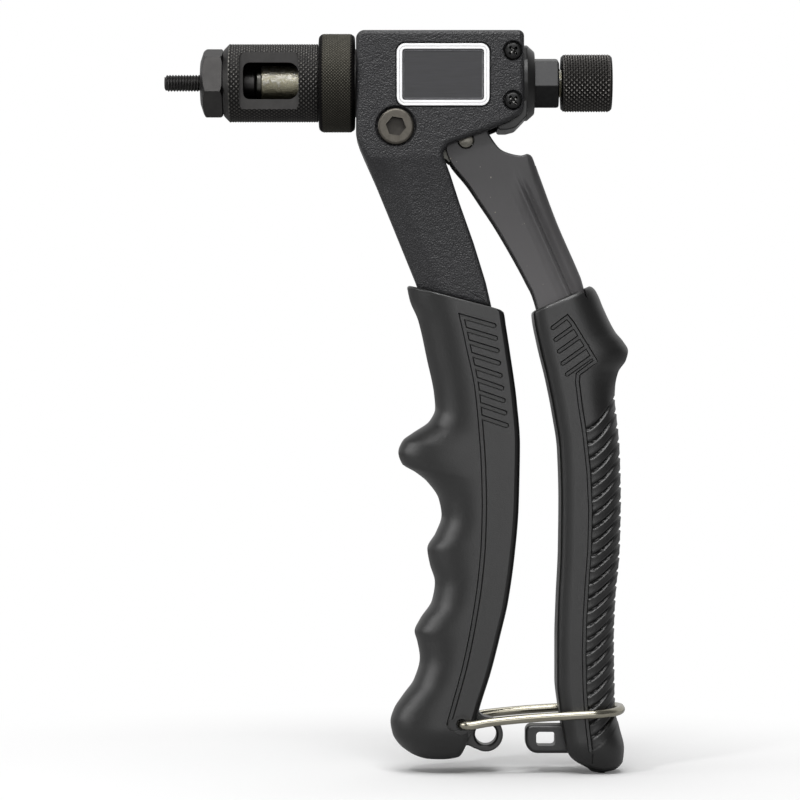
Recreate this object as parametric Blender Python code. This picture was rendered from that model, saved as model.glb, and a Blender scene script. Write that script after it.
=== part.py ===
"""Hand riveter for threaded nuts: a one-hand setting tool with a cast body, a toggle lever and a latching wire bail.

The tool stands upright, nose towards -X, knob towards +X, handles down.  Sizes are in millimetres in the tool's
own coordinates, whose origin is on the mandrel axis at the front face of the casting; SHIFT moves them into the
part's frame.
"""
import math

import bmesh
import bpy
from mathutils import Vector

for old in list(bpy.data.objects):
    bpy.data.objects.remove(old, do_unlink=True)

MM = 0.001
SHIFT = Vector((-13.6, 0.0, 237.4))  # tool coordinates to part frame
GAP = 0.3  # air between pieces that touch on the real tool

# ---- driving dimensions ------------------------------------------------------------------------------------
MANDREL_R = 2.9  # M6 thread
MANDREL_TIP = -66.2
ANVIL_FRONT, ANVIL_BACK, ANVIL_AF = -53.6, -46.0, 21.3
NOSE_R, NOSE_BORE_R, NOSE_FRONT, NOSE_REAR = 13.5, 9.5, -45.7, 8.6
NOSE_THREAD_R, SPIGOT_R = 11.7, 7.5  # screwed into the casting; the anvil's spigot in the sleeve's mouth
POCKET_FLOOR, POCKET_X0, POCKET_X1, POCKET_HALF_Z = 8.84, -40.0, -19.6, 10.4
WINDOW_X0, WINDOW_X1, WINDOW_HALF_Z = -38.7, -19.8, 6.3
RING_R, RING_X0, RING_X1 = 17.0, -12.9, -0.5
HEAD_R, HEAD_X0, HEAD_X1 = 4.5, -38.8, -34.8
RETAINER_R, RETAINER_X0, RETAINER_X1 = 5.5, -34.6, -32.8
SPINDLE_COLLAR_R, SPINDLE_COLLAR_X0, SPINDLE_COLLAR_X1 = 6.05, -32.6, -10.6
SHAFT_R = 4.8
TUBE_R, TUBE_X0 = 6.8, -8.0
COLLAR_R, COLLAR_X0, COLLAR_X1 = 9.0, -10.2, -8.0
BLOCK_X0, BLOCK_X1 = 36.0, 46.2
HEX_AF, HEX_X0, HEX_X1 = 16.0, 51.0, 69.6
KNOB_R, KNOB_X0, KNOB_X1 = 10.0, 70.4, 87.8
SPRING_R, SPRING_WIRE, SPRING_TURNS = 7.95, 1.2, 5.5

BODY_HALF, BODY_TOP, BODY_REAR = 15.0, 16.9, 57.3
CAVITY_TOP, CAVITY_FRONT = 11.8, 13.0
BODY_BORE_R, GUIDE_R = NOSE_THREAD_R + GAP, TUBE_R + 0.35  # for the nose sleeve's thread and the draw sleeve
ARM_HALF = 12.0
CORE_HALF = 7.0
PIVOT = Vector((13.6, 0.0, -16.0))  # bolt that carries the link plates
LEVER_PIN = Vector((37.5, 0.0, -20.5))
TRUNNION = Vector((41.0, 0.0, 0.0))
CHEEK_HALF_OUT, CHEEK_SHEET, LINK_SHEET = 10.5, 2.0, 2.7  # across the lever's cheeks, and both sheets
CHEEK_HALF_IN = CHEEK_HALF_OUT - CHEEK_SHEET
CAVITY_HALF = CHEEK_HALF_OUT + 0.7  # the lever turns between the casting's side plates
LINK_HALF_OUT = CHEEK_HALF_IN - GAP
LINK_HALF_IN = LINK_HALF_OUT - LINK_SHEET
BLOCK_HALF = CHEEK_HALF_IN - GAP
PIN_R, STUB_R, ROLLER_R = 2.5, 2.2, 3.5
FORK_CLEARANCE = 0.5
BOLT_R, BOLT_HEAD_R, BOLT_SOCKET_AF = 4.0, 6.2, 6.0
SCREW_AT = ((53.5, 9.7), (53.5, -7.2))
SCREW_HEAD_R, SCREW_R = 3.0, 1.8
BADGE_X0, BADGE_X1, BADGE_Z0, BADGE_Z1 = 13.9, 45.5, -9.0, 12.2

GRIP_HALF, LEVER_GRIP_HALF, GRIP_CHAMFER = 14.0, 13.0, 2.4
RING_LUG = Vector((44.5, 0.0, -224.1))
LUG_R, LUG_HOLE_R, LUG_HALF = 5.9, 3.7, 4.5
SQUARE_LUG = (58.1, 72.9, -230.6, -220.8)
SQUARE_HOLE = (61.8, 68.3, -228.0, -223.2)
BAIL_HINGE = Vector((36.0, 0.0, -219.9))
BAIL_ARM_Y, BAIL_WIRE_R = 15.8, 1.5
BAIL_BAR = Vector((90.9, 0.0, -215.4))


# ---- materials ---------------------------------------------------------------------------------------------
def material(name, rgb, metallic, roughness):
    made = bpy.data.materials.new(name)
    made.use_nodes = True
    shader = made.node_tree.nodes["Principled BSDF"]
    shader.inputs["Base Color"].default_value = (*rgb, 1.0)
    shader.inputs["Metallic"].default_value = metallic
    shader.inputs["Roughness"].default_value = roughness
    return made


CASTING = material("casting_paint", (0.045, 0.045, 0.048), 0.0, 0.55)
GRIP = material("grip_plastic", (0.018, 0.018, 0.018), 0.0, 0.6)
LEVER = material("lever_paint", (0.07, 0.07, 0.072), 0.3, 0.4)
BLACK_OXIDE = material("black_oxide_steel", (0.04, 0.038, 0.034), 0.8, 0.45)
BRIGHT = material("bright_steel", (0.45, 0.44, 0.42), 1.0, 0.35)
NICKEL = material("nickel_wire", (0.5, 0.47, 0.4), 1.0, 0.25)
BADGE = material("badge_aluminium", (0.6, 0.6, 0.6), 0.9, 0.35)


# ---- shaping helpers ---------------------------------------------------------------------------------------
def place(bm, name, look, smooth=None):
    """Turns a mesh in tool millimetres into a named object; smooth is the angle up to which edges shade round."""
    bmesh.ops.remove_doubles(bm, verts=bm.verts, dist=0.0005)
    bmesh.ops.recalc_face_normals(bm, faces=bm.faces)
    if bm.calc_volume(signed=True) < 0:
        bmesh.ops.reverse_faces(bm, faces=bm.faces)
    for vert in bm.verts:
        vert.co = (vert.co + SHIFT) * MM
    mesh = bpy.data.meshes.new(name)
    if smooth is not None:
        for face in bm.faces:
            face.smooth = True
        for edge in bm.edges:
            edge.smooth = len(edge.link_faces) == 2 and edge.calc_face_angle() < math.radians(smooth)
    bm.to_mesh(mesh)
    bm.free()
    mesh.materials.append(look)
    piece = bpy.data.objects.new(name, mesh)
    bpy.context.scene.collection.objects.link(piece)
    return piece


def rounded(outline, radii, steps=4):
    """Rounds the corners of a closed outline; radii holds one radius for each corner, or one number for all."""
    count = len(outline)
    if not hasattr(radii, "__len__"):
        radii = [radii] * count
    points = []
    for i in range(count):
        before, here, after = (Vector(outline[(i + k) % count]) for k in (-1, 0, 1))
        if radii[i] <= 0:
            points.append(tuple(here))
            continue
        a, b = (before - here).normalized(), (after - here).normalized()
        half = math.acos(max(-1.0, min(1.0, a.dot(b)))) / 2
        back = min(radii[i] / math.tan(half), 0.49 * (before - here).length, 0.49 * (after - here).length)
        radius = back * math.tan(half)
        centre = here + (a + b).normalized() * (radius / math.sin(half))
        start, end = here + a * back - centre, here + b * back - centre
        turn = math.atan2(start.x * end.y - start.y * end.x, start.dot(end))
        for k in range(steps + 1):
            angle = turn * k / steps
            points.append((centre.x + start.x * math.cos(angle) - start.y * math.sin(angle),
                           centre.y + start.x * math.sin(angle) + start.y * math.cos(angle)))
    return points


def circle(x, z, radius, steps=32, start=0.0, sweep=360.0):
    """Points of a circle or, with sweep under 360, of an arc, in the XZ plane."""
    ends = 0 if sweep >= 360 else 1
    return [(x + radius * math.cos(math.radians(start + sweep * k / (steps - ends))),
             z + radius * math.sin(math.radians(start + sweep * k / (steps - ends)))) for k in range(steps)]


def prism_mesh(outline, y0, y1, bm=None):
    bm = bm or bmesh.new()
    near = [bm.verts.new((x, y0, z)) for x, z in outline]
    far = [bm.verts.new((x, y1, z)) for x, z in outline]
    bm.faces.new(near)
    bm.faces.new(list(reversed(far)))
    for i in range(len(near)):
        j = (i + 1) % len(near)
        bm.faces.new((near[j], near[i], far[i], far[j]))
    return bm


def prism(name, outline, y0, y1, look, edge=0.0, smooth=35, segments=2):
    """A plate with an XZ outline between two Y levels, its rim edges rounded by edge millimetres."""
    piece = place(prism_mesh(outline, y0, y1), name, look, smooth)
    if edge:
        soften(piece, edge, segments, 60)
    return piece


def soften(piece, width, segments=2, angle=40):
    bevel = piece.modifiers.new("soft_edges", "BEVEL")
    bevel.width = width * MM
    bevel.segments = segments
    bevel.limit_method = "ANGLE"
    bevel.angle_limit = math.radians(angle)
    bevel.use_clamp_overlap = True
    bevel.harden_normals = False


def turned(name, profile, look, sides=48, phase=0.0, smooth=35):
    """A piece turned about the mandrel axis from a run of (x, radius), solid where it starts and ends at radius 0."""
    solid = profile[0][1] < 1e-6
    run = profile[1:-1] if solid else profile
    bm = bmesh.new()
    rings = [[bm.verts.new((x, radius * math.cos(phase + 2 * math.pi * k / sides),
                            radius * math.sin(phase + 2 * math.pi * k / sides))) for k in range(sides)]
             for x, radius in run]
    if solid:
        bm.faces.new(rings[0])
        bm.faces.new(list(reversed(rings[-1])))
    for a, b in zip(rings, rings[1:] if solid else rings[1:] + rings[:1]):
        for k in range(sides):
            j = (k + 1) % sides
            bm.faces.new((a[k], a[j], b[j], b[k]))
    return place(bm, name, look, smooth)


def rod(name, x, z, radius, y0, y1, look, sides=32, phase=3.7, smooth=35, edge=0.0):
    """A round or, with few sides, a prismatic bar along Y."""
    return prism(name, circle(x, z, radius, sides, phase), y0, y1, look, edge, smooth)


def combine(target, tool, how):
    step = target.modifiers.new(tool.name, "BOOLEAN")
    step.operation = how
    step.solver = "EXACT"
    step.object = tool
    tool.hide_render = True
    tool.display_type = "WIRE"


def cut(target, *tools):
    for tool in tools:
        combine(target, tool, "DIFFERENCE")


def join(target, *tools):
    for tool in tools:
        combine(target, tool, "UNION")


def at(line, z):
    """x of a polyline of (x, z) points, which falls in z, at height z."""
    for (xa, za), (xb, zb) in zip(line, line[1:]):
        if zb <= z <= za:
            return xa + (xb - xa) * (za - z) / max(za - zb, 1e-9)
    return line[0][0] if z > line[0][1] else line[-1][0]


def loft(name, rings, look, smooth=40):
    """A skin over rings with the same number of points, closed with a face at each end."""
    bm = bmesh.new()
    made = [[bm.verts.new(p) for p in ring] for ring in rings]
    count = len(made[0])
    bm.faces.new(list(reversed(made[0])))
    bm.faces.new(made[-1])
    for a, b in zip(made, made[1:]):
        for k in range(count):
            j = (k + 1) % count
            bm.faces.new((a[k], a[j], b[j], b[k]))
    return place(bm, name, look, smooth)


def inset(outline, depth):
    """The outline moved inwards by depth; its outer corners need radii above that."""
    points = [Vector(p) for p in outline]
    area = sum(a.x * b.y - b.x * a.y for a, b in zip(points, points[1:] + points[:1]))
    side = 1.0 if area > 0 else -1.0
    moved = []
    for before, here, after in zip(points[-1:] + points[:-1], points, points[1:] + points[:1]):
        a, b = (here - before).normalized(), (after - here).normalized()
        n, m = Vector((-a.y, a.x)) * side, Vector((-b.y, b.x)) * side
        moved.append(tuple(here + (n + m) * (depth / (1.0 + n.dot(m)))))
    return moved


def slab(name, outline, half, edge, look, steps=3, smooth=40):
    """A plate from -half to half in Y, its rims rounded with radius edge."""
    rings = []
    for side in (-1, 1):
        order = range(steps + 1) if side < 0 else range(steps, -1, -1)
        for k in order:
            angle = math.pi / 2 * k / steps
            ring = inset(outline, edge * (1 - math.sin(angle)))
            rings.append([Vector((x, side * (half - edge * (1 - math.cos(angle))), z)) for x, z in ring])
    return loft(name, rings, look, smooth)


def wire_mesh(path, radius, sides):
    """Rings of a round wire that follows a path of 3-D points."""
    rings = []
    normal = None
    for i, here in enumerate(path):
        ahead = (path[min(i + 1, len(path) - 1)] - path[max(i - 1, 0)]).normalized()
        if normal is None:
            normal = ahead.orthogonal().normalized()
        normal = (normal - ahead * normal.dot(ahead)).normalized()
        side = ahead.cross(normal)
        rings.append([here + radius * (normal * math.cos(2 * math.pi * k / sides)
                                       + side * math.sin(2 * math.pi * k / sides)) for k in range(sides)])
    return rings


# ---- body casting: head with two side plates, and the arm that runs down into the fixed grip ---------------
# One die casting.  The head is a block with a bore at the front for the nose and a cavity that is open to the rear and
# below; the arm narrows towards the grip and ends in a core that the grip is moulded on.
CORE_LEFT = [(21.6, -68.5), (27.0, -82.0), (31.0, -100.0), (33.0, -115.0), (34.0, -150.0), (32.0, -175.0),
             (29.0, -195.0), (26.0, -206.0)]
CORE_RIGHT = [(44.4, -72.0), (46.5, -82.0), (49.0, -100.0), (50.5, -125.0), (50.0, -150.0), (46.5, -180.0),
              (42.0, -198.0), (38.5, -206.0)]
head = [(0.0, BODY_TOP), (0.0, -19.0), (1.0, -22.0), (3.9, -28.8), (6.8, -35.5), (12.3, -48.9), (20.3, -68.6),
        (21.2, -71.1), (46.2, -77.1), (45.7, -75.0), (44.3, -69.0), (40.2, -55.7), (35.4, -42.2), (32.1, -32.1),
        (29.4, -24.9), (31.6, -22.0), (45.8, -16.9), (52.1, -14.3), (BODY_REAR, -11.0), (BODY_REAR, BODY_TOP)]
head_radii = [2.6, 3, 3, 0, 0, 0, 0, 0, 0, 0, 0, 0, 0, 4, 2.4, 3.0, 0, 2.5, 4, 1.7]
body = slab("body_casting", rounded(head, head_radii), BODY_HALF, 1.6, CASTING)
for side in (-1, 1):  # the arm grows thinner towards the grip
    wedge = bmesh.new()
    corners = [(side * (BODY_HALF + 0.45), -20.0), (side * (BODY_HALF + 4), -20.0), (side * (BODY_HALF + 4), -90.0),
               (side * ARM_HALF, -90.0), (side * ARM_HALF, -66.0)]
    rows = [[wedge.verts.new((x, y, z)) for y, z in corners] for x in (-5.0, 65.0)]
    wedge.faces.new(rows[0])
    wedge.faces.new(list(reversed(rows[1])))
    for k in range(5):
        j = (k + 1) % 5
        wedge.faces.new((rows[0][j], rows[0][k], rows[1][k], rows[1][j]))
    cut(body, place(wedge, "arm_taper_%d" % side, CASTING))
core = prism("arm_core", [(23.0, -66.0)] + CORE_LEFT[1:] + CORE_RIGHT[:0:-1] + [(43.0, -66.0)], -CORE_HALF, CORE_HALF,
             CASTING)
join(body, core)
cavity = prism("head_cavity", rounded([(CAVITY_FRONT, CAVITY_TOP), (65.0, CAVITY_TOP), (65.0, -33.0), (31.0, -33.0),
                                       (25.0, -26.5), (7.5, -24.5), (7.5, -10.4), (CAVITY_FRONT, -10.4)],
                                      [1, 0, 0, 0, 3, 2.5, 1.5, 0]), -CAVITY_HALF, CAVITY_HALF, CASTING)
nose_bore = turned("nose_bore", [(-2.0, 0), (-2.0, BODY_BORE_R), (9.0, BODY_BORE_R), (9.0, GUIDE_R), (15.0, GUIDE_R),
                                 (15.0, 0)], CASTING)
bolt_hole = rod("bolt_hole", PIVOT.x, PIVOT.z, BOLT_R + 0.15, -BODY_HALF - 3, BODY_HALF + 3, CASTING)
bolt_seat = rod("bolt_seat", PIVOT.x, PIVOT.z, BOLT_HEAD_R + 0.5, -BODY_HALF - 3, -BODY_HALF + 2.4, CASTING, 40)
nut_seat = rod("nut_seat", PIVOT.x, PIVOT.z, 7.9, BODY_HALF - 2.4, BODY_HALF + 3, CASTING, 6, 30, smooth=None)
cut(body, cavity, nose_bore, bolt_hole, bolt_seat, nut_seat)
for side in (-1, 1):
    for row, (x, z) in enumerate(SCREW_AT):
        ends = sorted((side * (BODY_HALF + 2), side * (BODY_HALF - 1.8)))
        deep = sorted((side * (BODY_HALF + 2), side * (CAVITY_HALF - 3.2)))
        cut(body, rod("screw_seat_%d_%d" % (side, row), x, z, SCREW_HEAD_R + 0.3, *ends, CASTING),
            rod("screw_hole_%d_%d" % (side, row), x, z, SCREW_R + 0.15, *deep, CASTING, 20))
badge_seat = prism("badge_seat", rounded([(BADGE_X0 - 0.3, BADGE_Z0 - 0.3), (BADGE_X1 + 0.3, BADGE_Z0 - 0.3),
                                          (BADGE_X1 + 0.3, BADGE_Z1 + 0.3), (BADGE_X0 - 0.3, BADGE_Z1 + 0.3)], 3.2),
                   -BODY_HALF - 2, -BODY_HALF + 0.5, CASTING)
cut(body, badge_seat)

# ---- badge: a thin printed plate in a shallow seat on the near side ----------------------------------------
prism("badge_plate", rounded([(BADGE_X0, BADGE_Z0), (BADGE_X1, BADGE_Z0), (BADGE_X1, BADGE_Z1), (BADGE_X0, BADGE_Z1)],
                             2.9), -BODY_HALF - 0.1, -BODY_HALF + 0.4, BADGE)

# ---- rear cap: plastic block between the side plates with a coned flange behind them -----------------------
cap = prism("rear_cap", rounded([(48.4, -16.9), (48.4, 11.4), (58.5, 11.4), (58.5, -12.0), (54.6, -16.1),
                                  (51.6, -16.9)], [1, 1, 0, 2.5, 2.5, 2]),
            -CAVITY_HALF + GAP, CAVITY_HALF - GAP, GRIP)
flange = turned("cap_flange", [(57.4, 0), (57.4, 9.8), (57.4, 13.0), (58.6, 13.0), (61.2, 10.7), (61.2, 0)], GRIP)
join(cap, flange)
cut(cap, turned("cap_bore", [(40, 0), (40, HEX_AF / math.sqrt(3) + 0.26), (70, HEX_AF / math.sqrt(3) + 0.26), (70, 0)],
                GRIP))
for side in (-1, 1):
    for row, (x, z) in enumerate(SCREW_AT):
        tap = sorted((side * (CAVITY_HALF + 0.8), side * (BODY_HALF - 5.1)))
        cut(cap, rod("cap_tap_%d_%d" % (side, row), x, z, SCREW_R + 0.15, *tap, GRIP, 20))

# ---- four pan-head cross-recess screws that hold the rear cap ----------------------------------------------
number = 0
for side in (-1, 1):
    for row, (x, z) in enumerate(SCREW_AT):
        number += 1
        head_ends = sorted((side * (BODY_HALF - 1.6), side * (BODY_HALF - 0.1)))
        shank_ends = sorted((side * (BODY_HALF - 1.4), side * (BODY_HALF - 4.8)))
        screw = rod("cap_screw_%d" % number, x, z, SCREW_HEAD_R, *head_ends, BRIGHT, 28, edge=0.5)
        join(screw, rod("screw_shank_%d" % number, x, z, SCREW_R, *shank_ends, BRIGHT, 20))
        for turn in (0.6, 0.6 + math.pi / 2):  # cross recess
            ex, ez = math.cos(turn), math.sin(turn)
            slot = [(x + a * ex * 1.7 - b * ez * 0.35, z + a * ez * 1.7 + b * ex * 0.35)
                    for a, b in ((-1, -1), (1, -1), (1, 1), (-1, 1))]
            recess_ends = sorted((side * (BODY_HALF - 0.9), side * (BODY_HALF + 1)))
            cut(screw, prism("recess_%d_%d" % (number, int(turn * 10)), slot, *recess_ends, BRIGHT))

# ---- pivot bolt with hexagon socket, and its nut -----------------------------------------------------------
bolt = rod("pivot_bolt", PIVOT.x, PIVOT.z, BOLT_HEAD_R, -BODY_HALF - 0.2, -BODY_HALF + 2.1, BRIGHT, 40, edge=0.5)
join(bolt, rod("bolt_shank", PIVOT.x, PIVOT.z, BOLT_R, -BODY_HALF + 1.6, BODY_HALF, BRIGHT))
cut(bolt, rod("bolt_socket", PIVOT.x, PIVOT.z, BOLT_SOCKET_AF / math.sqrt(3), -BODY_HALF - 2, -BODY_HALF + 1.8, BRIGHT,
              6, 15, smooth=None))
nut = rod("pivot_nut", PIVOT.x, PIVOT.z, 13.0 / math.sqrt(3), BODY_HALF - 2.1, BODY_HALF + 0.4, BRIGHT, 6, 30,
          smooth=None, edge=0.4)
cut(nut, rod("nut_thread", PIVOT.x, PIVOT.z, BOLT_R + 0.15, BODY_HALF - 5, BODY_HALF + 3, BRIGHT))


# ---- link plates: two punched steel plates from the pivot bolt to the lever pin ----------------------------
def link_outline():
    return (circle(PIVOT.x, PIVOT.z, 5.6, 14, 80, 180)
            + [(30.6, -26.6), (31.8, -27.6), (33.6, -26.8)]
            + circle(LEVER_PIN.x, LEVER_PIN.z, 5.6, 12, -85, 165))


for word, side in (("left", -1), ("right", 1)):
    link = prism("link_plate_" + word, link_outline(), *sorted((side * LINK_HALF_IN, side * LINK_HALF_OUT)), BRIGHT)
    cut(link, rod("link_bolt_" + word, PIVOT.x, PIVOT.z, BOLT_R + 0.15, -BODY_HALF, BODY_HALF, BRIGHT),
        rod("link_pin_" + word, LEVER_PIN.x, LEVER_PIN.z, PIN_R + 0.15, -BODY_HALF, BODY_HALF, BRIGHT))
spacer = rod("link_spacer", PIVOT.x, PIVOT.z, 5.4, -LINK_HALF_IN + GAP, LINK_HALF_IN - GAP, BRIGHT)
cut(spacer, rod("spacer_hole", PIVOT.x, PIVOT.z, BOLT_R + 0.15, -BODY_HALF, BODY_HALF, BRIGHT))

# ---- lever pin: ground pin, flush with the outside of the lever's cheeks -----------------------------------
rod("lever_pin", LEVER_PIN.x, LEVER_PIN.z, PIN_R, -CHEEK_HALF_OUT - 0.2, CHEEK_HALF_OUT + 0.2, BRIGHT, edge=0.3)

# ---- lever arm: pressed channel of 2 mm sheet, cheeks each side and a back web; its tang goes into the lever grip --
LEVER_LEFT = [(30.9, -20.4), (30.8, -24.0), (32.8, -28.6), (38.0, -34.9), (42.6, -41.7), (47.1, -48.4),
              (51.2, -55.2), (55.0, -61.9), (58.6, -68.7), (61.6, -75.5), (66.5, -95.0), (71.5, -113.0), (74.0, -143.0),
              (73.8, -178.0), (73.2, -205.0), (74.5, -214.0)]
LEVER_RIGHT = [(45.1, -17.6), (46.8, -20.4), (49.4, -23.5), (52.9, -25.0), (56.4, -25.6), (59.9, -25.3), (62.5, -31.7),
               (68.9, -48.8), (75.5, -63.9), (77.6, -69.6), (79.8, -80.0), (82.8, -105.0), (84.0, -140.0),
               (83.2, -178.0), (82.2, -205.0), (81.6, -214.0)]


def channel(name, grow):
    """The lever's U section; grow widens it by that much everywhere, for the hollow that the grip has for it."""
    left = [(x - grow, z) for x, z in LEVER_LEFT]
    right = [(x + grow, z) for x, z in LEVER_RIGHT]
    left[-1], right[-1] = (left[-1][0], left[-1][1] - grow), (right[-1][0], right[-1][1] - grow)
    top = [(45.4, -8.0)] + circle(TRUNNION.x, TRUNNION.z, 6.2, 12, 10, 160) + [(34.9, -8.0), (33.4, -14.0)]
    outer = [tuple(p) for p in right[::-1]] + top + left
    shell = prism(name, outer, -CHEEK_HALF_OUT - grow, CHEEK_HALF_OUT + grow, LEVER, edge=0.35 if not grow else 0.0,
                  segments=1)
    wall = CHEEK_HALF_OUT - CHEEK_HALF_IN + 2 * grow
    # inside of the channel: stops short of the back web, and passes right through above it
    inner = [(25.0, 12.0), (66.0, 12.0), (66.0, -22.0)]
    inner += [(x - wall, z) for x, z in right[5:-1]]
    inner += [(right[-1][0] - wall, -215.0 - wall), (60.0, -216.0 - wall), (45.0, -110.0), (25.0, -60.0)]
    inner[3] = (right[5][0] + 4.0, -22.1)
    half = CHEEK_HALF_IN - grow
    bm = bmesh.new()
    ring = rounded(inner, 0)
    for y0, y1 in ((-half, half),):
        prism_mesh(ring, y0, y1, bm)
    hollow = place(bm, name + "_inside", LEVER)
    cut(shell, hollow)
    return shell


lever = channel("lever_arm", 0.0)
cut(lever, rod("fork_hole", TRUNNION.x, TRUNNION.z, ROLLER_R + FORK_CLEARANCE, -15, 15, LEVER),
    rod("pin_hole", LEVER_PIN.x, LEVER_PIN.z, PIN_R + 0.15, -15, 15, LEVER))

# ---- draw sleeve: turned and milled steel slider with a trunnion block, and the hexagon that the cap guides --
neck = BLOCK_HALF - 0.2
sleeve = turned("draw_sleeve", [(TUBE_X0, 5.1), (TUBE_X0, TUBE_R), (BLOCK_X0 + 1, TUBE_R), (BLOCK_X0 + 1, neck),
                                (HEX_X0 + 1, neck), (HEX_X0 + 1, 5.1)], BRIGHT)
block = prism("trunnion_block", rounded([(BLOCK_X0, -BLOCK_HALF), (BLOCK_X1, -BLOCK_HALF), (BLOCK_X1, BLOCK_HALF),
                                        (BLOCK_X0, BLOCK_HALF)], 1.0),
              -BLOCK_HALF, BLOCK_HALF, BRIGHT)
for side in (-1, 1):
    ends = sorted((side * (BLOCK_HALF - 1.2), side * (CHEEK_HALF_OUT + 0.2)))
    join(block, rod("stub_%d" % side, TRUNNION.x, TRUNNION.z, STUB_R, *ends, BRIGHT, 24))
join(sleeve, block)
hexagon = turned("sleeve_hexagon", [(HEX_X0 - 1, 0), (HEX_X0 - 1, HEX_AF / math.sqrt(3)),
                                    (HEX_X1 - 1.0, HEX_AF / math.sqrt(3)), (HEX_X1, HEX_AF / math.sqrt(3) - 1.0),
                                    (HEX_X1, 0)], BRIGHT, 6, phase=math.radians(90 + 41.6), smooth=None)
join(sleeve, hexagon)
cut(sleeve, turned("sleeve_bore", [(-12, 0), (-12, SHAFT_R + 0.15), (72, SHAFT_R + 0.15), (72, 0)], BRIGHT))

for word, side in (("left", -1), ("right", 1)):
    roller = rod("trunnion_roller_" + word, TRUNNION.x, TRUNNION.z, ROLLER_R,
                 *sorted((side * (BLOCK_HALF + GAP), side * CHEEK_HALF_OUT)), BRIGHT)
    cut(roller, rod("roller_hole_" + word, TRUNNION.x, TRUNNION.z, STUB_R + 0.15, -15, 15, BRIGHT, 24))

turned("draw_collar", [(COLLAR_X0, 5.1), (COLLAR_X0, COLLAR_R - 0.4), (COLLAR_X0 + 0.4, COLLAR_R),
                       (COLLAR_X1 - GAP, COLLAR_R), (COLLAR_X1 - GAP, 5.1)], BRIGHT)

# ---- return spring: coiled round the draw sleeve between the collar and the casting's inner wall -----------
coil = []
spring_x0, spring_x1 = COLLAR_X1 + SPRING_WIRE / 2 + 0.2, 9.0 - SPRING_WIRE / 2 - 0.2
steps_per_turn = 20
total = int(SPRING_TURNS * steps_per_turn)
for k in range(total + 1):
    angle = 2 * math.pi * k / steps_per_turn
    share = min(max((k - 12) / (total - 24), 0), 1)
    lead = spring_x0 + (spring_x1 - spring_x0) * share
    coil.append(Vector((lead, SPRING_R * math.cos(angle), SPRING_R * math.sin(angle))))
loft("return_spring", wire_mesh(coil, SPRING_WIRE / 2, 8), BRIGHT, 80)

# ---- spindle: shaft through the draw sleeve, with the wide front collar that shows in the nose window ------
turned("spindle", [(SPINDLE_COLLAR_X0, 0), (SPINDLE_COLLAR_X0, SPINDLE_COLLAR_R - 0.3),
                   (SPINDLE_COLLAR_X0 + 0.3, SPINDLE_COLLAR_R), (SPINDLE_COLLAR_X1, SPINDLE_COLLAR_R),
                   (SPINDLE_COLLAR_X1, SHAFT_R), (80.0, SHAFT_R), (80.0, 0)], BRIGHT)
turned("mandrel_retainer", [(RETAINER_X0, 0), (RETAINER_X0, RETAINER_R - 0.5), (RETAINER_X0 + 0.5, RETAINER_R),
                            (RETAINER_X1, RETAINER_R), (RETAINER_X1, 0)], BLACK_OXIDE)
turned("mandrel", [(MANDREL_TIP, 0), (MANDREL_TIP, MANDREL_R - 0.7), (MANDREL_TIP + 0.7, MANDREL_R),
                   (HEAD_X0, MANDREL_R), (HEAD_X0, HEAD_R - 0.4), (HEAD_X0 + 0.4, HEAD_R), (HEAD_X1, HEAD_R),
                   (HEAD_X1, 0)], BLACK_OXIDE)
knob = turned("knob", [(KNOB_X0, 0), (KNOB_X0, KNOB_R - 0.8), (KNOB_X0 + 0.8, KNOB_R), (KNOB_X1 - 0.9, KNOB_R),
                       (KNOB_X1, KNOB_R - 0.9), (KNOB_X1, 0)], BLACK_OXIDE)
cut(knob, turned("knob_bore", [(60.0, 0), (60.0, SHAFT_R + 0.15), (80.3, SHAFT_R + 0.15), (80.3, 0)], BLACK_OXIDE),
    turned("grub_hole", [(82.0, 0), (82.0, 1.9), (95.0, 1.9), (95.0, 0)], BLACK_OXIDE, 20))
turned("knob_grub_screw", [(82.3, 0), (82.3, 1.6), (87.0, 1.6), (87.0, 0)], BLACK_OXIDE, 20)

# ---- nose sleeve: knurled steel tube with a window in its near side, screwed into the casting --------------
nose = turned("nose_sleeve", [(NOSE_FRONT, SPIGOT_R + GAP), (NOSE_FRONT, NOSE_R - 2.1), (NOSE_FRONT + 2.1, NOSE_R),
                              (-13.2, NOSE_R), (-13.2, NOSE_THREAD_R), (NOSE_REAR, NOSE_THREAD_R),
                              (NOSE_REAR, NOSE_BORE_R), (-40.4, NOSE_BORE_R), (-40.4, SPIGOT_R + GAP)],
              BLACK_OXIDE, 64)
pocket = rounded([(POCKET_X0, -POCKET_HALF_Z), (POCKET_X1, -POCKET_HALF_Z), (POCKET_X1, POCKET_HALF_Z),
                  (POCKET_X0, POCKET_HALF_Z)], 2.9)
window = rounded([(WINDOW_X0, -WINDOW_HALF_Z), (WINDOW_X1, -WINDOW_HALF_Z), (WINDOW_X1, WINDOW_HALF_Z),
                  (WINDOW_X0, WINDOW_HALF_Z)], [2.2, 3.4, 3.4, 2.2])
cut(nose, prism("pocket_cut", pocket, -20.0, -POCKET_FLOOR, BLACK_OXIDE),
    prism("window_cut", window, -20.0, 0.0, BLACK_OXIDE))

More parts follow.
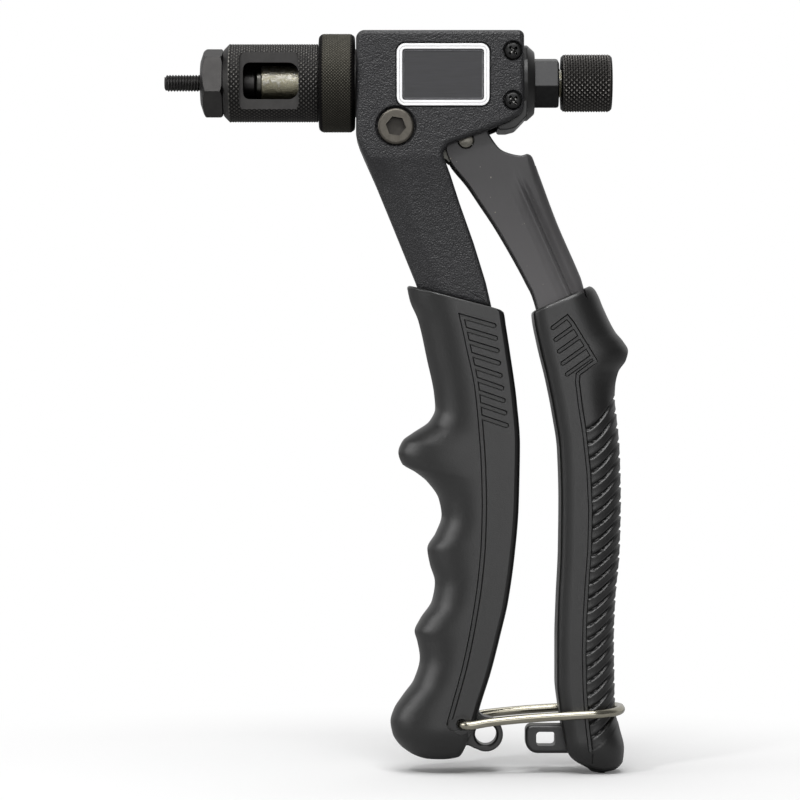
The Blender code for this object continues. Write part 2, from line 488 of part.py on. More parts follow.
# ---- anvil: hexagon flange that the rivet nut is drawn against, with a spigot inside the nose sleeve -------
anvil_r = ANVIL_AF / math.sqrt(3)
anvil = turned("anvil", [(ANVIL_FRONT - 1, 0), (ANVIL_FRONT - 1, anvil_r), (ANVIL_BACK + 1, anvil_r),
                         (ANVIL_BACK + 1, 0)], BLACK_OXIDE, 6, phase=math.radians(90 + 48), smooth=None)
dome = turned("anvil_chamfer", [(ANVIL_FRONT, 0), (ANVIL_FRONT, 7.6), (ANVIL_FRONT + 1.3, 11.7),
                                (ANVIL_FRONT + 2.0, 12.6),
                                (ANVIL_BACK - 0.6, 12.6), (ANVIL_BACK, 11.6), (ANVIL_BACK, 0)], BLACK_OXIDE, 54,
              phase=0.013)
combine(anvil, dome, "INTERSECT")
join(anvil, turned("anvil_spigot", [(ANVIL_BACK - 3, 0), (ANVIL_BACK - 3, SPIGOT_R), (-42.4, SPIGOT_R), (-42.4, 0)],
                   BLACK_OXIDE, phase=0.02))
cut(anvil, turned("anvil_hole", [(-60, 0), (-60, MANDREL_R + 0.3), (-50.5, MANDREL_R + 0.3), (-50.5, 5.4), (-35, 5.4),
                                 (-35, 0)], BLACK_OXIDE, phase=0.03))

# ---- lock ring: knurled ring nut that jams the nose sleeve against the casting -----------------------------
turned("lock_ring", [(RING_X0, NOSE_THREAD_R + GAP), (RING_X0, RING_R - 1.6), (RING_X0 + 0.5, RING_R - 0.5),
                     (RING_X0 + 1.6, RING_R), (RING_X1 - 1.6, RING_R), (RING_X1 - 0.5, RING_R - 0.5),
                     (RING_X1, RING_R - 1.6), (RING_X1, NOSE_THREAD_R + GAP)], BLACK_OXIDE, 64)

# ---- fixed grip: hard plastic moulding with finger swells, a thumb stop, a flared foot and the ring lug ----
FIXED_FINGER = [(17.8, -70.6), (18.6, -75.0), (21.2, -81.7), (24.3, -95.4), (26.7, -107.0), (27.1, -112.0),
                (25.7, -116.1), (20.6, -121.2), (16.2, -123.6), (14.3, -127.2), (15.8, -131.4), (20.2, -134.0),
                (24.3, -137.3), (28.0, -143.5), (29.2, -148.9), (27.8, -154.1), (24.6, -160.3), (24.4, -165.0),
                (26.6, -172.5), (26.0, -178.2), (21.9, -184.6), (20.0, -188.9), (20.9, -192.2), (21.8, -198.0),
                (19.8, -205.4), (16.0, -210.8), (12.8, -215.8), (11.7, -219.8), (12.4, -224.0), (14.6, -227.6),
                (18.4, -230.6), (22.6, -232.6)]
FIXED_PALM = [(46.9, -77.4), (50.4, -79.2), (51.2, -84.0), (52.6, -93.0), (54.9, -109.7), (56.0, -124.4),
              (55.8, -136.8), (55.5, -146.8), (54.3, -161.0), (51.9, -178.2), (49.5, -188.6), (46.0, -202.3),
              (42.7, -212.7), (40.9, -218.9), (38.6, -224.6), (36.9, -229.0), (35.4, -231.6), (33.0, -232.6)]
FIXED_BAND = [(33.0, -74.0), (35.1, -79.7), (37.6, -92.2), (40.2, -104.7), (41.9, -119.8), (43.2, -136.1),
              (44.2, -146.3), (42.9, -163.7), (40.2, -183.7), (34.0, -210.0), (30.0, -223.1), (28.0, -234.0)]


def grip_section(x_round, x_band, x_flat, z_round, z_flat, half, chamfer):
    """One cross-section: rounded from the band towards x_round, flat from the band to a chamfered x_flat face."""
    def point(x, y):
        share = (x - x_round) / (x_flat - x_round)
        return Vector((x, y, z_round + (z_flat - z_round) * share))
    step = math.copysign(1.0, x_flat - x_round)
    ring = []
    turns = 12
    for k in range(turns + 1):
        angle = math.pi * k / turns
        c, s = math.cos(angle), math.sin(angle)
        reach = abs(s) ** 0.86
        ring.append(point(x_band + (x_round - x_band) * reach, half * math.copysign(abs(c) ** 0.86, c)))
    cham = min(chamfer, 0.45 * half)
    ring += [point(x_flat - step * cham, -half), point(x_flat - step * cham * 0.3, -half + cham * 0.3),
             point(x_flat, -half + cham), point(x_flat, half - cham), point(x_flat - step * cham * 0.3, half - cham * 0.3),
             point(x_flat - step * cham, half)]
    return ring


rings = []
levels = [0, 2.6, 7, 12, 18, 24, 30, 35, 38, 41, 43, 45, 47, 49, 51, 53, 55, 57, 59, 61.5, 64, 67, 70, 73, 76, 79, 82, 85,
          88, 91, 94, 97, 100, 103, 106, 109, 112, 115, 117.5, 120, 123, 126, 129, 132, 135, 138, 141, 144, 147, 150,
          152.5, 155, 157.6, 160.2, 162.0]
for drop in levels:
    z_round = FIXED_FINGER[0][1] - drop
    tilt = max(0.0, 1.0 - drop / 30.0)
    z_flat = z_round - 7.0 * tilt
    x0, x1, xb = at(FIXED_FINGER, z_round), at(FIXED_PALM, z_flat), at(FIXED_BAND, (z_round + z_flat) / 2)
    end = max(0.0, (drop - 150.0) / 12.0)
    half = GRIP_HALF * (1.0 - 0.06 * max(0.0, 1 - drop / 2.0)) * math.sqrt(max(0.04, 1.0 - 0.85 * end ** 2.2))
    rings.append(grip_section(x0, min(xb, x1 - 4.0), x1, z_round, z_flat, half, GRIP_CHAMFER))
grip = loft("fixed_grip", rings, GRIP, 50)
lug = prism("ring_lug", [(34.0, -208.0), (40.5, -211.0), (41.6, -216.0), (43.6, -217.9)]
            + circle(RING_LUG.x, RING_LUG.z, LUG_R, 20, 85, -225) + [(38.2, -226.4), (36.4, -227.2), (33.0, -227.0)],
            -LUG_HALF, LUG_HALF, GRIP, edge=0.8)
join(grip, lug)
cut(grip, rod("lug_hole", RING_LUG.x, RING_LUG.z, LUG_HOLE_R, -20, 20, GRIP, 28))
core_room = prism("core_room", [(x - GAP, z) for x, z in [(22.0, -64.0)] + CORE_LEFT[1:-1]]
                  + [(CORE_LEFT[-1][0] - GAP, CORE_LEFT[-1][1] - GAP), (CORE_RIGHT[-1][0] + GAP, CORE_RIGHT[-1][1] - GAP)]
                  + [(x + GAP, z) for x, z in CORE_RIGHT[-2:0:-1] + [(44.0, -64.0)]],
                  -CORE_HALF - GAP, CORE_HALF + GAP, GRIP)
cut(grip, core_room)
for side in (-1, 1):  # each eye of the bail sits in a round hole that opens into an oblong one for the bend
    x, z = BAIL_HINGE.x, BAIL_HINGE.z
    cut(grip, rod("bail_eye_room_%d" % side, x, z, 1.8, *sorted((side * 7.5, side * 20)), GRIP, 20),
        prism("bail_bend_room_%d" % side, rounded([(x - 4.8, z - 1.9), (x + 3.8, z - 1.9), (x + 3.8, z + 1.9),
                                                  (x - 4.8, z + 1.9)], 1.6), *sorted((side * 11.2, side * 20)), GRIP))

# ---- lever grip: hard plastic moulding with a thumb bump above, diagonal ribs and the square lug -----------
LEVER_INNER = [(60.5, -78.4), (60.7, -81.0), (62.5, -90.3), (65.4, -102.3), (67.6, -113.4), (69.5, -126.5),
               (70.0, -143.7), (69.8, -161.0), (69.0, -178.2), (68.6, -192.0), (68.6, -205.8), (69.5, -214.4),
               (71.2, -224.8), (72.6, -230.0), (75.6, -234.4), (80.0, -236.8)]
LEVER_OUTER = [(81.4, -69.8), (83.4, -73.5), (84.9, -77.2), (89.1, -85.6), (91.9, -89.0), (93.6, -92.2), (92.9, -95.4),
               (90.2, -99.6), (89.2, -104.1), (89.0, -107.9), (89.5, -112.7), (90.8, -126.5), (91.2, -143.7),
               (90.8, -161.0), (89.3, -178.2), (88.2, -192.0), (88.5, -205.8), (88.9, -215.4), (90.6, -221.8),
               (92.2, -229.0), (91.8, -233.4), (89.4, -236.2), (86.0, -237.2)]
rings = []
levels = [0, 2, 5, 9, 13, 15.5, 18, 20.5, 23, 26, 30, 35, 41, 48, 56, 65, 75, 86, 98, 110, 122, 130, 137, 143, 147.5,
          151, 154, 156.4, 158.0, 158.7]
for drop in levels:
    z_inner = LEVER_INNER[0][1] - drop
    tilt = max(0.0, 1.0 - drop / 26.0)
    z_outer = z_inner + 8.4 * tilt - 0.3 * (drop / 159.4)
    x0, x1 = at(LEVER_INNER, z_inner), at(LEVER_OUTER, z_outer)
    end = max(0.0, (drop - 149.0) / 10.4)
    half = LEVER_GRIP_HALF * (1.0 - 0.06 * max(0.0, 1 - drop / 2.0)) * math.sqrt(max(0.04, 1.0 - 0.9 * end ** 2.2))
    rings.append(grip_section(x1, x0 + 0.46 * (x1 - x0), x0, z_outer, z_inner, half, GRIP_CHAMFER))
lever_grip = loft("lever_grip", rings, GRIP, 50)
x0, x1, z0, z1 = SQUARE_LUG
join(lever_grip, prism("square_lug", rounded([(x0, z0), (x1 + 5, z0), (x1 + 5, z1), (x0, z1)], [4.2, 0, 0, 2.2]),
                       -LUG_HALF, LUG_HALF, GRIP, edge=1.2))
x0, x1, z0, z1 = SQUARE_HOLE
cut(lever_grip, prism("square_hole", rounded([(x0, z0), (x1, z0), (x1, z1), (x0, z1)], 1.2), -20, 20, GRIP),
    channel("lever_room", GAP))

# ---- bail: sprung wire bow hinged in the fixed grip; its crossbar hooks behind the lever grip to hold the tool shut --
half_path = [(BAIL_HINGE.x, -8.0, BAIL_HINGE.z), (BAIL_HINGE.x, -12.5, BAIL_HINGE.z)]
bend = 3.2
arm_start = Vector((BAIL_HINGE.x, -BAIL_ARM_Y, BAIL_HINGE.z))
path = [Vector(p) for p in half_path]
for k in range(1, 7):  # eye: from the hole out to the arm
    angle = math.pi / 2 * k / 6
    path.append(Vector((BAIL_HINGE.x + bend * (1 - math.cos(angle)), -BAIL_ARM_Y + bend * (1 - math.sin(angle)),
                        BAIL_HINGE.z)))
arm = [(46.0, -218.7), (58.0, -217.5), (70.0, -216.7), (79.0, -216.2)]
for x, z in arm:
    path.append(Vector((x, -BAIL_ARM_Y, z)))
bow = 11.5
for k in range(1, 9):  # wide bow round the back of the lever grip
    angle = math.pi / 2 * k / 8
    path.append(Vector((BAIL_BAR.x - bow * (1 - math.sin(angle)), -BAIL_ARM_Y + (BAIL_ARM_Y - 2.0) * (1 - math.cos(angle)),
                        -216.2 + (BAIL_BAR.z + 216.2) * k / 8)))
path += [Vector((p.x, -p.y, p.z)) for p in reversed(path)]
loft("bail", wire_mesh(path, BAIL_WIRE_R, 14), NICKEL, 80)
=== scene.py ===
"""Looks of a hand riveter for threaded nuts, piece by piece in the order in which it is put together."""

from math import acos, atan2, copysign, cos, exp, hypot, pi, radians, sin, sqrt, tan, tau

import bmesh
import bpy
import numpy as np
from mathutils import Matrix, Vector


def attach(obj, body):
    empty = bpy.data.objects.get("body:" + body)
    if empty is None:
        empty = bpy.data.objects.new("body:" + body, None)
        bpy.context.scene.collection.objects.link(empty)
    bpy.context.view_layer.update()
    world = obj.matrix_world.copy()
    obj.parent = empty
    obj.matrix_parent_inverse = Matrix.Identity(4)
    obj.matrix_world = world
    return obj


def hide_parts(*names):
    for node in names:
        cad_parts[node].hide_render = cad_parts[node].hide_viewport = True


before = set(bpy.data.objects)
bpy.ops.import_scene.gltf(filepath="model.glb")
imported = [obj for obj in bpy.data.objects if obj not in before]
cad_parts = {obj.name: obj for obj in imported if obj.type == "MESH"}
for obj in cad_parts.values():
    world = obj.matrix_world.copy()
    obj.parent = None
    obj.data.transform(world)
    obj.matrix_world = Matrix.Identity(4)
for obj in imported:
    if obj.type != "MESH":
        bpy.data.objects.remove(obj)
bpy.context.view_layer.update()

# ---- body casting ----
# One die casting in zinc alloy: a head with a cavity open below and behind, and an arm that narrows towards
# the grip. It is coated with charcoal polyester powder, which flows round its edges and sets in small
# leathery bumps.
MM = 0.001
# the mandrel axis at the casting's front face, in the part's frame, in mm
ORIGIN = Vector((-13.6, 0, 237.4))
BODY_HALF, CAVITY_HALF, BODY_TOP, BODY_REAR, ARM_HALF = 15, 11.2, 16.9, 57.3, 12
PIVOT, LEVER_PIN, TRUNNION = (13.6, -16), (37.5, -20.5), (41, 0)
SCREWS = ((53.5, 9.7), (53.5, -7.2))
BOLT_HOLE_R, SLEEVE_HOLE_R, NOSE_HOLE_R = 4.15, 7.15, 12
CASTING_OUTLINE = [
    (0, BODY_TOP), (0, -19), (1, -22), (3.9, -28.8), (6.8, -35.5), (12.3, -48.9), (20.3, -68.6),
    (21.4, -71.6), (46.3, -77.6), (45.7, -75), (44.3, -69), (40.2, -55.7), (35.4, -42.2), (32.1, -32.1),
    (29.4, -24.9), (31.6, -22), (45.8, -16.9), (52.1, -14.3), (BODY_REAR, -11), (BODY_REAR, BODY_TOP)]
CASTING_RADII = [2.9, 3, 3, 0, 0, 0, 0, 0, 0, 0, 0, 0, 0, 4, 2.4, 3, 0, 2.5, 4, 2]


def linear(colour):
    """Linear RGBA of an sRGB hex colour."""
    parts = [int(colour[i:i + 2], 16) / 255 for i in (1, 3, 5)]
    return (*[p / 12.92 if p <= 0.04045 else ((p + 0.055) / 1.055) ** 2.4 for p in parts], 1)


def wire(target, links):
    """Gives input sockets a value, a hex colour, an output, or another node for its first output in use."""
    for socket, source in links.items():
        if isinstance(source, bpy.types.Node):
            source = next(output for output in source.outputs if output.enabled)
        if isinstance(source, bpy.types.NodeSocket):
            target.id_data.links.new(source, target.inputs[socket])
        else:
            target.inputs[socket].default_value = linear(source) if isinstance(source, str) else source


def node(tree, kind, links, **settings):
    """Adds a shader node and wires it."""
    made = tree.nodes.new("ShaderNode" + kind)
    for key, value in settings.items():
        setattr(made, key, value)
    wire(made, links)
    return made


def finish(name, **sockets):
    """A material, its node tree, its shader and the output that holds the place on the piece at rest."""
    made = bpy.data.materials.new(name)
    made.use_nodes = True
    tree = made.node_tree
    shader = tree.nodes["Principled BSDF"]
    wire(shader, {socket.replace("_", " "): value for socket, value in sockets.items()})
    return made, tree, shader, node(tree, "TexCoord", {}).outputs["Object"]


def skin(name, rings, look, sharp=35, closed=True):
    """A closed skin over rings of tool-coordinate points in mm, each ring with the same number of points."""
    rings = np.asarray(rings, float)
    rows, count = rings.shape[:2]
    points = (rings.reshape(-1, 3) + np.array(ORIGIN)) * MM
    index = np.arange(rows * count).reshape(rows, count)
    a, b = (index[:-1], index[1:]) if closed else (index, np.roll(index, -1, 0))
    quads = np.stack([a, np.roll(a, -1, 1), np.roll(b, -1, 1), b], -1).reshape(-1, 4).tolist()
    if closed:
        quads += [index[0, ::-1].tolist(), index[-1].tolist()]
    mesh = bpy.data.meshes.new(name)
    mesh.from_pydata(points.tolist(), [], quads)
    return piece_from(mesh, name, look, sharp)


def piece_from(mesh, name, look, sharp):
    """Puts a mesh in the scene, normals outwards, with edges above the sharp angle left hard."""
    bm = bmesh.new()
    bm.from_mesh(mesh)
    bmesh.ops.remove_doubles(bm, verts=bm.verts, dist=5e-7)
    bmesh.ops.recalc_face_normals(bm, faces=bm.faces)
    if bm.calc_volume(signed=True) < 0:
        bmesh.ops.reverse_faces(bm, faces=bm.faces)
    for face in bm.faces:
        face.smooth = True
    for edge in bm.edges:
        edge.smooth = len(edge.link_faces) == 2 and edge.calc_face_angle() < radians(sharp)
    bm.to_mesh(mesh)
    bm.free()
    mesh.materials.clear()
    mesh.materials.append(look)
    piece = bpy.data.objects.new(name, mesh)
    bpy.context.scene.collection.objects.link(piece)
    return piece


def rounded(outline, radii, steps=8):
    """Rounds an outline's corners; radii holds one radius for each corner, or one number for all."""
    count = len(outline)
    radii = radii if hasattr(radii, "__len__") else [radii] * count
    points = []
    for i in range(count):
        before, here, after = (Vector(outline[(i + k) % count]) for k in (-1, 0, 1))
        if radii[i] <= 0:
            points.append(tuple(here))
            continue
        a, b = (before - here).normalized(), (after - here).normalized()
        half = acos(max(-1, min(1, a.dot(b)))) / 2
        back = min(radii[i] / tan(half), 0.49 * (before - here).length, 0.49 * (after - here).length)
        radius = back * tan(half)
        centre = here + (a + b).normalized() * (radius / sin(half))
        start, end = here + a * back - centre, here + b * back - centre
        turn = atan2(start.x * end.y - start.y * end.x, start.dot(end))
        for k in range(steps + 1):
            c, s = cos(turn * k / steps), sin(turn * k / steps)
            points.append((centre.x + start.x * c - start.y * s, centre.y + start.x * s + start.y * c))
    return points


def inset(outline, depth):
    """The outline moved inwards by depth, one number or one for each point."""
    points = [Vector(p) for p in outline]
    depths = depth if hasattr(depth, "__len__") else [depth] * len(points)
    area = sum(a.x * b.y - b.x * a.y for a, b in zip(points, points[1:] + points[:1]))
    side = 1 if area > 0 else -1
    moved = []
    for before, here, after, far in zip(points[-1:] + points[:-1], points, points[1:] + points[:1], depths):
        a, b = (here - before).normalized(), (after - here).normalized()
        n, m = Vector((-a.y, a.x)) * side, Vector((-b.y, b.x)) * side
        moved.append(tuple(here + (n + m) * (far / (1 + n.dot(m)))))
    return moved


def oblong(x0, x1, z0, z1):
    return [(x0, z0), (x1, z0), (x1, z1), (x0, z1)]


def plate(name, outline, y0, y1, look, edge=None, steps=5, sharp=35):
    """A plate with an XZ outline between two Y levels; edge rounds its rims, with one radius or many."""
    if edge is None:
        return skin(name, [[(x, y, z) for x, z in outline] for y in (y0, y1)], look, sharp)
    radii = np.broadcast_to(np.asarray(edge, float), (len(outline),))
    rings = []
    for level, inward in ((y0, 1), (y1, -1)):
        for angle in np.linspace(0, pi / 2, steps + 1)[::inward]:
            levels = level + inward * radii * (1 - cos(angle))
            shape = inset(outline, radii * (1 - sin(angle)))
            rings.append([(x, y, z) for (x, z), y in zip(shape, levels)])
    return skin(name, rings, look, sharp)


def arc(centre, radius, degrees):
    return [(centre[0] + radius * cos(radians(a)), centre[1] + radius * sin(radians(a))) for a in degrees]


def turned(name, profile, look, centre=None, sides=96, phase=0, sharp=35):
    """A solid turned about the mandrel axis or a line along Y; profile holds (place, radius)."""
    angles = phase + tau * np.arange(sides) / sides
    rings = []
    for place, radius in profile:
        c, s = radius * np.cos(angles), radius * np.sin(angles)
        rings.append(np.stack([np.full(sides, place), c, s] if centre is None
                              else [centre[0] + c, np.full(sides, place), centre[1] + s], -1))
    return skin(name, rings, look, sharp)


def rod(name, ends, radius, *look, **more):
    """A plain round bar between two places on its axis, or the drill for its hole."""
    return turned(name, [(ends[0], radius), (ends[1], radius)], *look, **more)


def cut(piece, *tools, how="DIFFERENCE"):
    for tool in tools:
        step = piece.modifiers.new(tool.name, "BOOLEAN")
        step.operation, step.solver, step.object = how, "EXACT", tool


def join(piece, *tools):
    cut(piece, *tools, how="UNION")


def settle(piece, sharp=35):
    """Makes cuts and joins final, takes their tools away, and keeps flat faces flat to the eye."""
    tools = [step.object for step in piece.modifiers]
    graph = bpy.context.evaluated_depsgraph_get()
    mesh = bpy.data.meshes.new_from_object(piece.evaluated_get(graph))
    look, name = piece.data.materials[0], piece.name
    for old in [piece] + tools:
        bpy.data.objects.remove(old, do_unlink=True)
    made = piece_from(mesh, name, look, sharp)
    step = made.modifiers.new("flat_faces", "WEIGHTED_NORMAL")
    step.keep_sharp = True
    step.weight = 100
    return made


powder_coat, tree, shader, spot = finish("charcoal_powder_coat", Roughness=0.4)
# bumps 0.5 mm apart on waves; pale flecks painted into the colour stand for glints off the bumps
bumps = node(tree, "TexVoronoi", {"Vector": spot, "Scale": 2000, "Smoothness": 0.6}, feature="SMOOTH_F1")
waves = node(tree, "TexNoise", {"Vector": spot, "Scale": 420, "Detail": 3})
relief = node(tree, "Math", {0: bumps, 1: waves}, operation="ADD")
tint = node(tree, "Mix", {0: waves, 6: "#1f1f21", 7: "#2c2c2e"}, data_type="RGBA")
painted_glint_fleck = node(tree, "TexNoise", {"Vector": spot, "Scale": 2400, "Detail": 1})
painted_glint_fleck = node(tree, "MapRange", {"Value": painted_glint_fleck, "From Min": 0.62, "From Max": 0.76, "To Max": 0.7})
wire(shader, {
    "Base Color": node(tree, "Mix", {0: painted_glint_fleck, 6: tint, 7: "#5c5c5f"}, data_type="RGBA"),
    "Normal": node(tree, "Bump", {"Height": relief, "Strength": 0.85, "Distance": 0.00028})})

casting = plate("casting_body", rounded(CASTING_OUTLINE, CASTING_RADII), -BODY_HALF, BODY_HALF, powder_coat,
                1.8, 6)
ARM_TOP, ARM_END = -26, -66  # heights between which the arm grows thinner, quickly at first
# a point of the arm's front edge, and how far in from it the arm is rounded
FRONT_OF_ARM, ARM_ROUND = Vector((3.9, 0, -28.8)), 9
bm = bmesh.new()
bm.from_mesh(casting.data)
inwards = Vector((39.8, 0, 16.4)).normalized()
cuts = [(Vector((0, 0, ARM_TOP - drop)), Vector((0, 0, 1)))
        for drop in (0, 1.5, 3.5, 6, 9, 12, 16, 20, 25, 30, 35, 40)]
cuts += [(FRONT_OF_ARM + inwards * reach, inwards)
         for reach in (0.4, 0.9, 1.6, 2.5, 3.6, 4.9, 6.5, ARM_ROUND)]
arm_top = (ARM_TOP + ORIGIN.z + 0.01) * MM
for place, direction in cuts:
    arm = [f for f in bm.faces if place.z == ARM_TOP or max(v.co.z for v in f.verts) < arm_top]
    arm += list({e for f in arm for e in f.edges}) + list({v for f in arm for v in f.verts})
    bmesh.ops.bisect_plane(bm, geom=arm, plane_no=direction, plane_co=(ORIGIN + place) * MM)
for vert in bm.verts:
    at = vert.co / MM - ORIGIN
    share = min(max((ARM_TOP - at.z) / (ARM_TOP - ARM_END), 0), 1)
    near = 1 - min(max((at - FRONT_OF_ARM).dot(inwards) / ARM_ROUND, 0), 1)
    early = min(max((ARM_TOP - at.z) / 9, 0), 1)
    thin = 1 - (1 - (1 - share) ** 2.4) * (1 - ARM_HALF / BODY_HALF)
    vert.co.y *= thin * (1 - 0.44 * early * near ** 1.4)
bm.to_mesh(casting.data)
bm.free()
cavity = rounded([(13, 11.8), (65, 11.8), (65, -33), (31, -33), (25, -26.5), (7.5, -24.5),
                  (7.5, -10.4), (13, -10.4)], [1, 0, 0, 0, 3, 2.5, 1.5, 0])
bore = [(-2, NOSE_HOLE_R), (9, NOSE_HOLE_R), (9, SLEEVE_HOLE_R), (15, SLEEVE_HOLE_R)]
bolt_seat = [(-16, 8.2), (-15, 7.2), (-14.6, 6.8), (-14.2, 6.7), (-12.6, 6.7)]
cut(casting, plate("cavity", cavity, -CAVITY_HALF, CAVITY_HALF, powder_coat),
    turned("bore", bore, powder_coat),
    rod("bolt_hole", (-18, 18), BOLT_HOLE_R, powder_coat, PIVOT, phase=0.02),
    turned("bolt_seat", bolt_seat, powder_coat, PIVOT),
    rod("nut_seat", (12.6, 18), 7.9, powder_coat, PIVOT, 6, radians(30)))
for side in (-1, 1):
    for at in SCREWS:
        seat = [(16, 4.3), (15, 3.6), (14.6, 3.35), (13.2, 3.3)]
        cut(casting, turned("screw_seat", [(side * y, r) for y, r in seat], powder_coat, at),
            rod("screw_hole", (side * 17, side * 8), 1.95, powder_coat, at))
BADGE_X, BADGE_Z, BADGE_AIR = (13.9, 45.5), (-9, 12.2), 0.55
seat = rounded(oblong(BADGE_X[0] - BADGE_AIR, BADGE_X[1] + BADGE_AIR,
                      BADGE_Z[0] - BADGE_AIR, BADGE_Z[1] + BADGE_AIR), 3.4)
cut(casting, plate("badge_seat", seat, -17, -BODY_HALF + 1.8, powder_coat))
casting = settle(casting)
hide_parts("body_casting")
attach(casting, "frame")

# ---- badge ----
# A small pressed aluminium plate glued into a shallow seat: a bright rim of two bands with a fine line
# between them, round a plain dark printed field. It carries no name.


def mottled(name, tones, roughness, grain, bump=None, stretch=None, **sockets):
    """A finish that a noise plays over; tones and roughness are each one value, or two to wander between.

    grain is the noise's scale, detail and roughness, bump a strength and height, stretch a scale along X.
    """
    made, tree, shader, spot = finish(name, **sockets)
    if stretch:
        spot = node(tree, "Mapping", {"Vector": spot, "Scale": (stretch, 1, 1)})
    noise = node(tree, "TexNoise", dict(zip(("Scale", "Detail", "Roughness"), grain), Vector=spot))
    if not isinstance(tones, str):
        tones = node(tree, "Mix", {0: noise, 6: tones[0], 7: tones[1]}, data_type="RGBA")
    if isinstance(roughness, tuple):
        low, high = roughness
        roughness = node(tree, "MapRange", {"Value": noise, "To Min": low, "To Max": high})
    wire(shader, {"Base Color": tones, "Roughness": roughness})
    if bump:
        strength, height = bump
        bump = node(tree, "Bump", {"Height": noise, "Strength": strength, "Distance": height})
        wire(shader, {"Normal": bump})
    return made


bright_rim = mottled("pressed_aluminium_rim", "#f0f0f1", (0.3, 0.48), (900, 2), Metallic=1)
printed_field = mottled("satin_printed_field", ("#2c2c2e", "#3d3d40"), 0.42, (1600, 3), stretch=0.08)
# the pressed step is a paler grey than the field
pale_step_look = mottled("pale_grey_pressed_step", ("#4a4a4c", "#8a8a8d"), 0.4, (500, 3), Metallic=0.6)

badge_outline, BADGE_BACK = rounded(oblong(*BADGE_X, *BADGE_Z), 2.9), -13.3


def band(name, depths, top, look):
    """A raised band round the badge between two depths inside its outline, with softened edges."""
    run = [(depths[0], BADGE_BACK), (depths[0], top + 0.1), (depths[0] + 0.1, top), (depths[1] - 0.1, top),
           (depths[1], top + 0.1), (depths[1], BADGE_BACK)]
    rings = [[(x, y, z) for x, z in inset(badge_outline, depth)] for depth, y in run]
    return skin(name, rings, look, 30, closed=False)


rim = band("badge_rim", (0, 0.94), -15.1, bright_rim)
inner_rim = band("badge_inner_rim", (0.98, 1.9), -15.07, bright_rim)
ledge = band("badge_step", (2.3, 2.6), -14.95, pale_step_look)
field = plate("badge_field", inset(badge_outline, 0.4), -14.72, BADGE_BACK, printed_field)
for piece in (rim, inner_rim, ledge, field):
    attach(piece, "frame")
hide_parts("badge_plate")

# ---- pivot bolt, nut and link plates ----
# A socket-head bolt and its nut in plain heat-treated steel, brown-grey and rubbed; punched zinc-plated link
# plates and their spacer turn on it inside the casting.
rubbed_steel = mottled("rubbed_hardened_steel", ("#4b4843", "#716d66"), 0.42, (520, 6, 0.65),
                       (0.35, 0.00006), Metallic=1)
socket_shade_look, tree, shader, spot = finish("socket_painted_shade", Roughness=0.5, Metallic=0.6)
depth = node(tree, "SeparateXYZ", {0: spot}).outputs["Y"]
# painted shade: the socket's walls are painted near black and its floor a paler grey
socket_floor_share = node(tree, "MapRange", {"Value": depth, "From Min": -0.0125, "From Max": -0.0121})
wire(shader, {"Base Color": node(tree, "Mix", {0: socket_floor_share, 6: "#191818", 7: "#4a4743"}, data_type="RGBA")})

bolt = turned("bolt_head", [(-12.9, 6.2), (-14.4, 6.2), (-14.7, 6.13), (-14.95, 5.93), (-15.12, 5.63),
                            (-15.2, 5.25)], rubbed_steel, PIVOT)
join(bolt, turned("shank", [(-14, 4), (14.6, 4), (15, 3.5)], rubbed_steel, PIVOT, phase=0.02))
SOCKET_R, SOCKET_TURN = 3.5, radians(50)
cut(bolt, turned("socket", [(-17, SOCKET_R), (-12, SOCKET_R)], rubbed_steel, PIVOT, 6, SOCKET_TURN))
bolt = settle(bolt, 25)
bolt.data.materials.append(socket_shade_look)
# the socket's faces take the painted shade
for face in bolt.data.polygons:
    at = face.center / MM - ORIGIN
    if hypot(at.x - PIVOT[0], at.z - PIVOT[1]) < SOCKET_R + 0.1 and -15.15 < at.y < -11.5:
        face.material_index = 1
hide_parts("pivot_bolt")
nut = plate("bolt_nut", arc(PIVOT, 13 / sqrt(3), range(30, 390, 60)), 12.9, 15.4, rubbed_steel, 0.4, 3, 25)
cut(nut, rod("thread", (10, 18), BOLT_HOLE_R, rubbed_steel, PIVOT))
nut = settle(nut, 25)
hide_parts("pivot_nut")
for piece in (bolt, nut):
    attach(piece, "frame")

# zinc plate in a dull and uneven dark grey
zinc_plate = mottled("dull_dark_zinc_plate", ("#3c3c3a", "#6e6d68"), 0.34, (300, 4), Metallic=1)


def dress(look, *names):
    """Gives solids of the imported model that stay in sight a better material."""
    for name in names:
        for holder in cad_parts[name].material_slots:
            holder.link = "OBJECT"
            holder.material = look


dress(zinc_plate, "link_plate_left", "link_plate_right", "link_spacer")

# ---- draw sleeve, return spring, rollers ----
# The blued tool-steel slider that the lever pulls back: a turned tube with a milled block, two stubs and a
# hexagon whose ground edges shine. Spring, collar and rollers sit inside the casting and keep the solids'
# plain shapes.
blued_steel = mottled("blued_tool_steel", ("#262627", "#3c3c3c"), (0.24, 0.46), (700, 5, 0.7), Metallic=1)
BLOCK_HALF, SHAFT_R = 8.2, 4.8
slide = turned("draw_slide", [(-8, 6.8), (37, 6.8), (37, 8), (52, 8)], blued_steel)
block = rounded(oblong(36, 46.2, -BLOCK_HALF, BLOCK_HALF), 1)
HEX_R, HEX_TURN, HEX_END = 16 / sqrt(3), 131.6, 69.6
corners = arc((0, 0), HEX_R, [HEX_TURN + 60 * k for k in range(6)])
ends = ((50, 1), (HEX_END - 0.9, 1), (HEX_END - 0.4, 0.985), (HEX_END - 0.12, 0.95), (HEX_END, 0.89))
rings = [[(x, y * k, z * k) for y, z in rounded(corners, 0.6, 4)] for x, k in ends]
stubs = [(-10.7, 1.9), (-10.4, 2.2), (10.4, 2.2), (10.7, 1.9)]
join(slide, plate("block", block, -BLOCK_HALF, BLOCK_HALF, blued_steel, 0.5, 3),
     skin("hexagon", rings, blued_steel, 30), turned("stubs", stubs, blued_steel, TRUNNION, 40, 0.01))
cut(slide, rod("bore", (-12, 72), SHAFT_R + 0.15, blued_steel, phase=0.01))
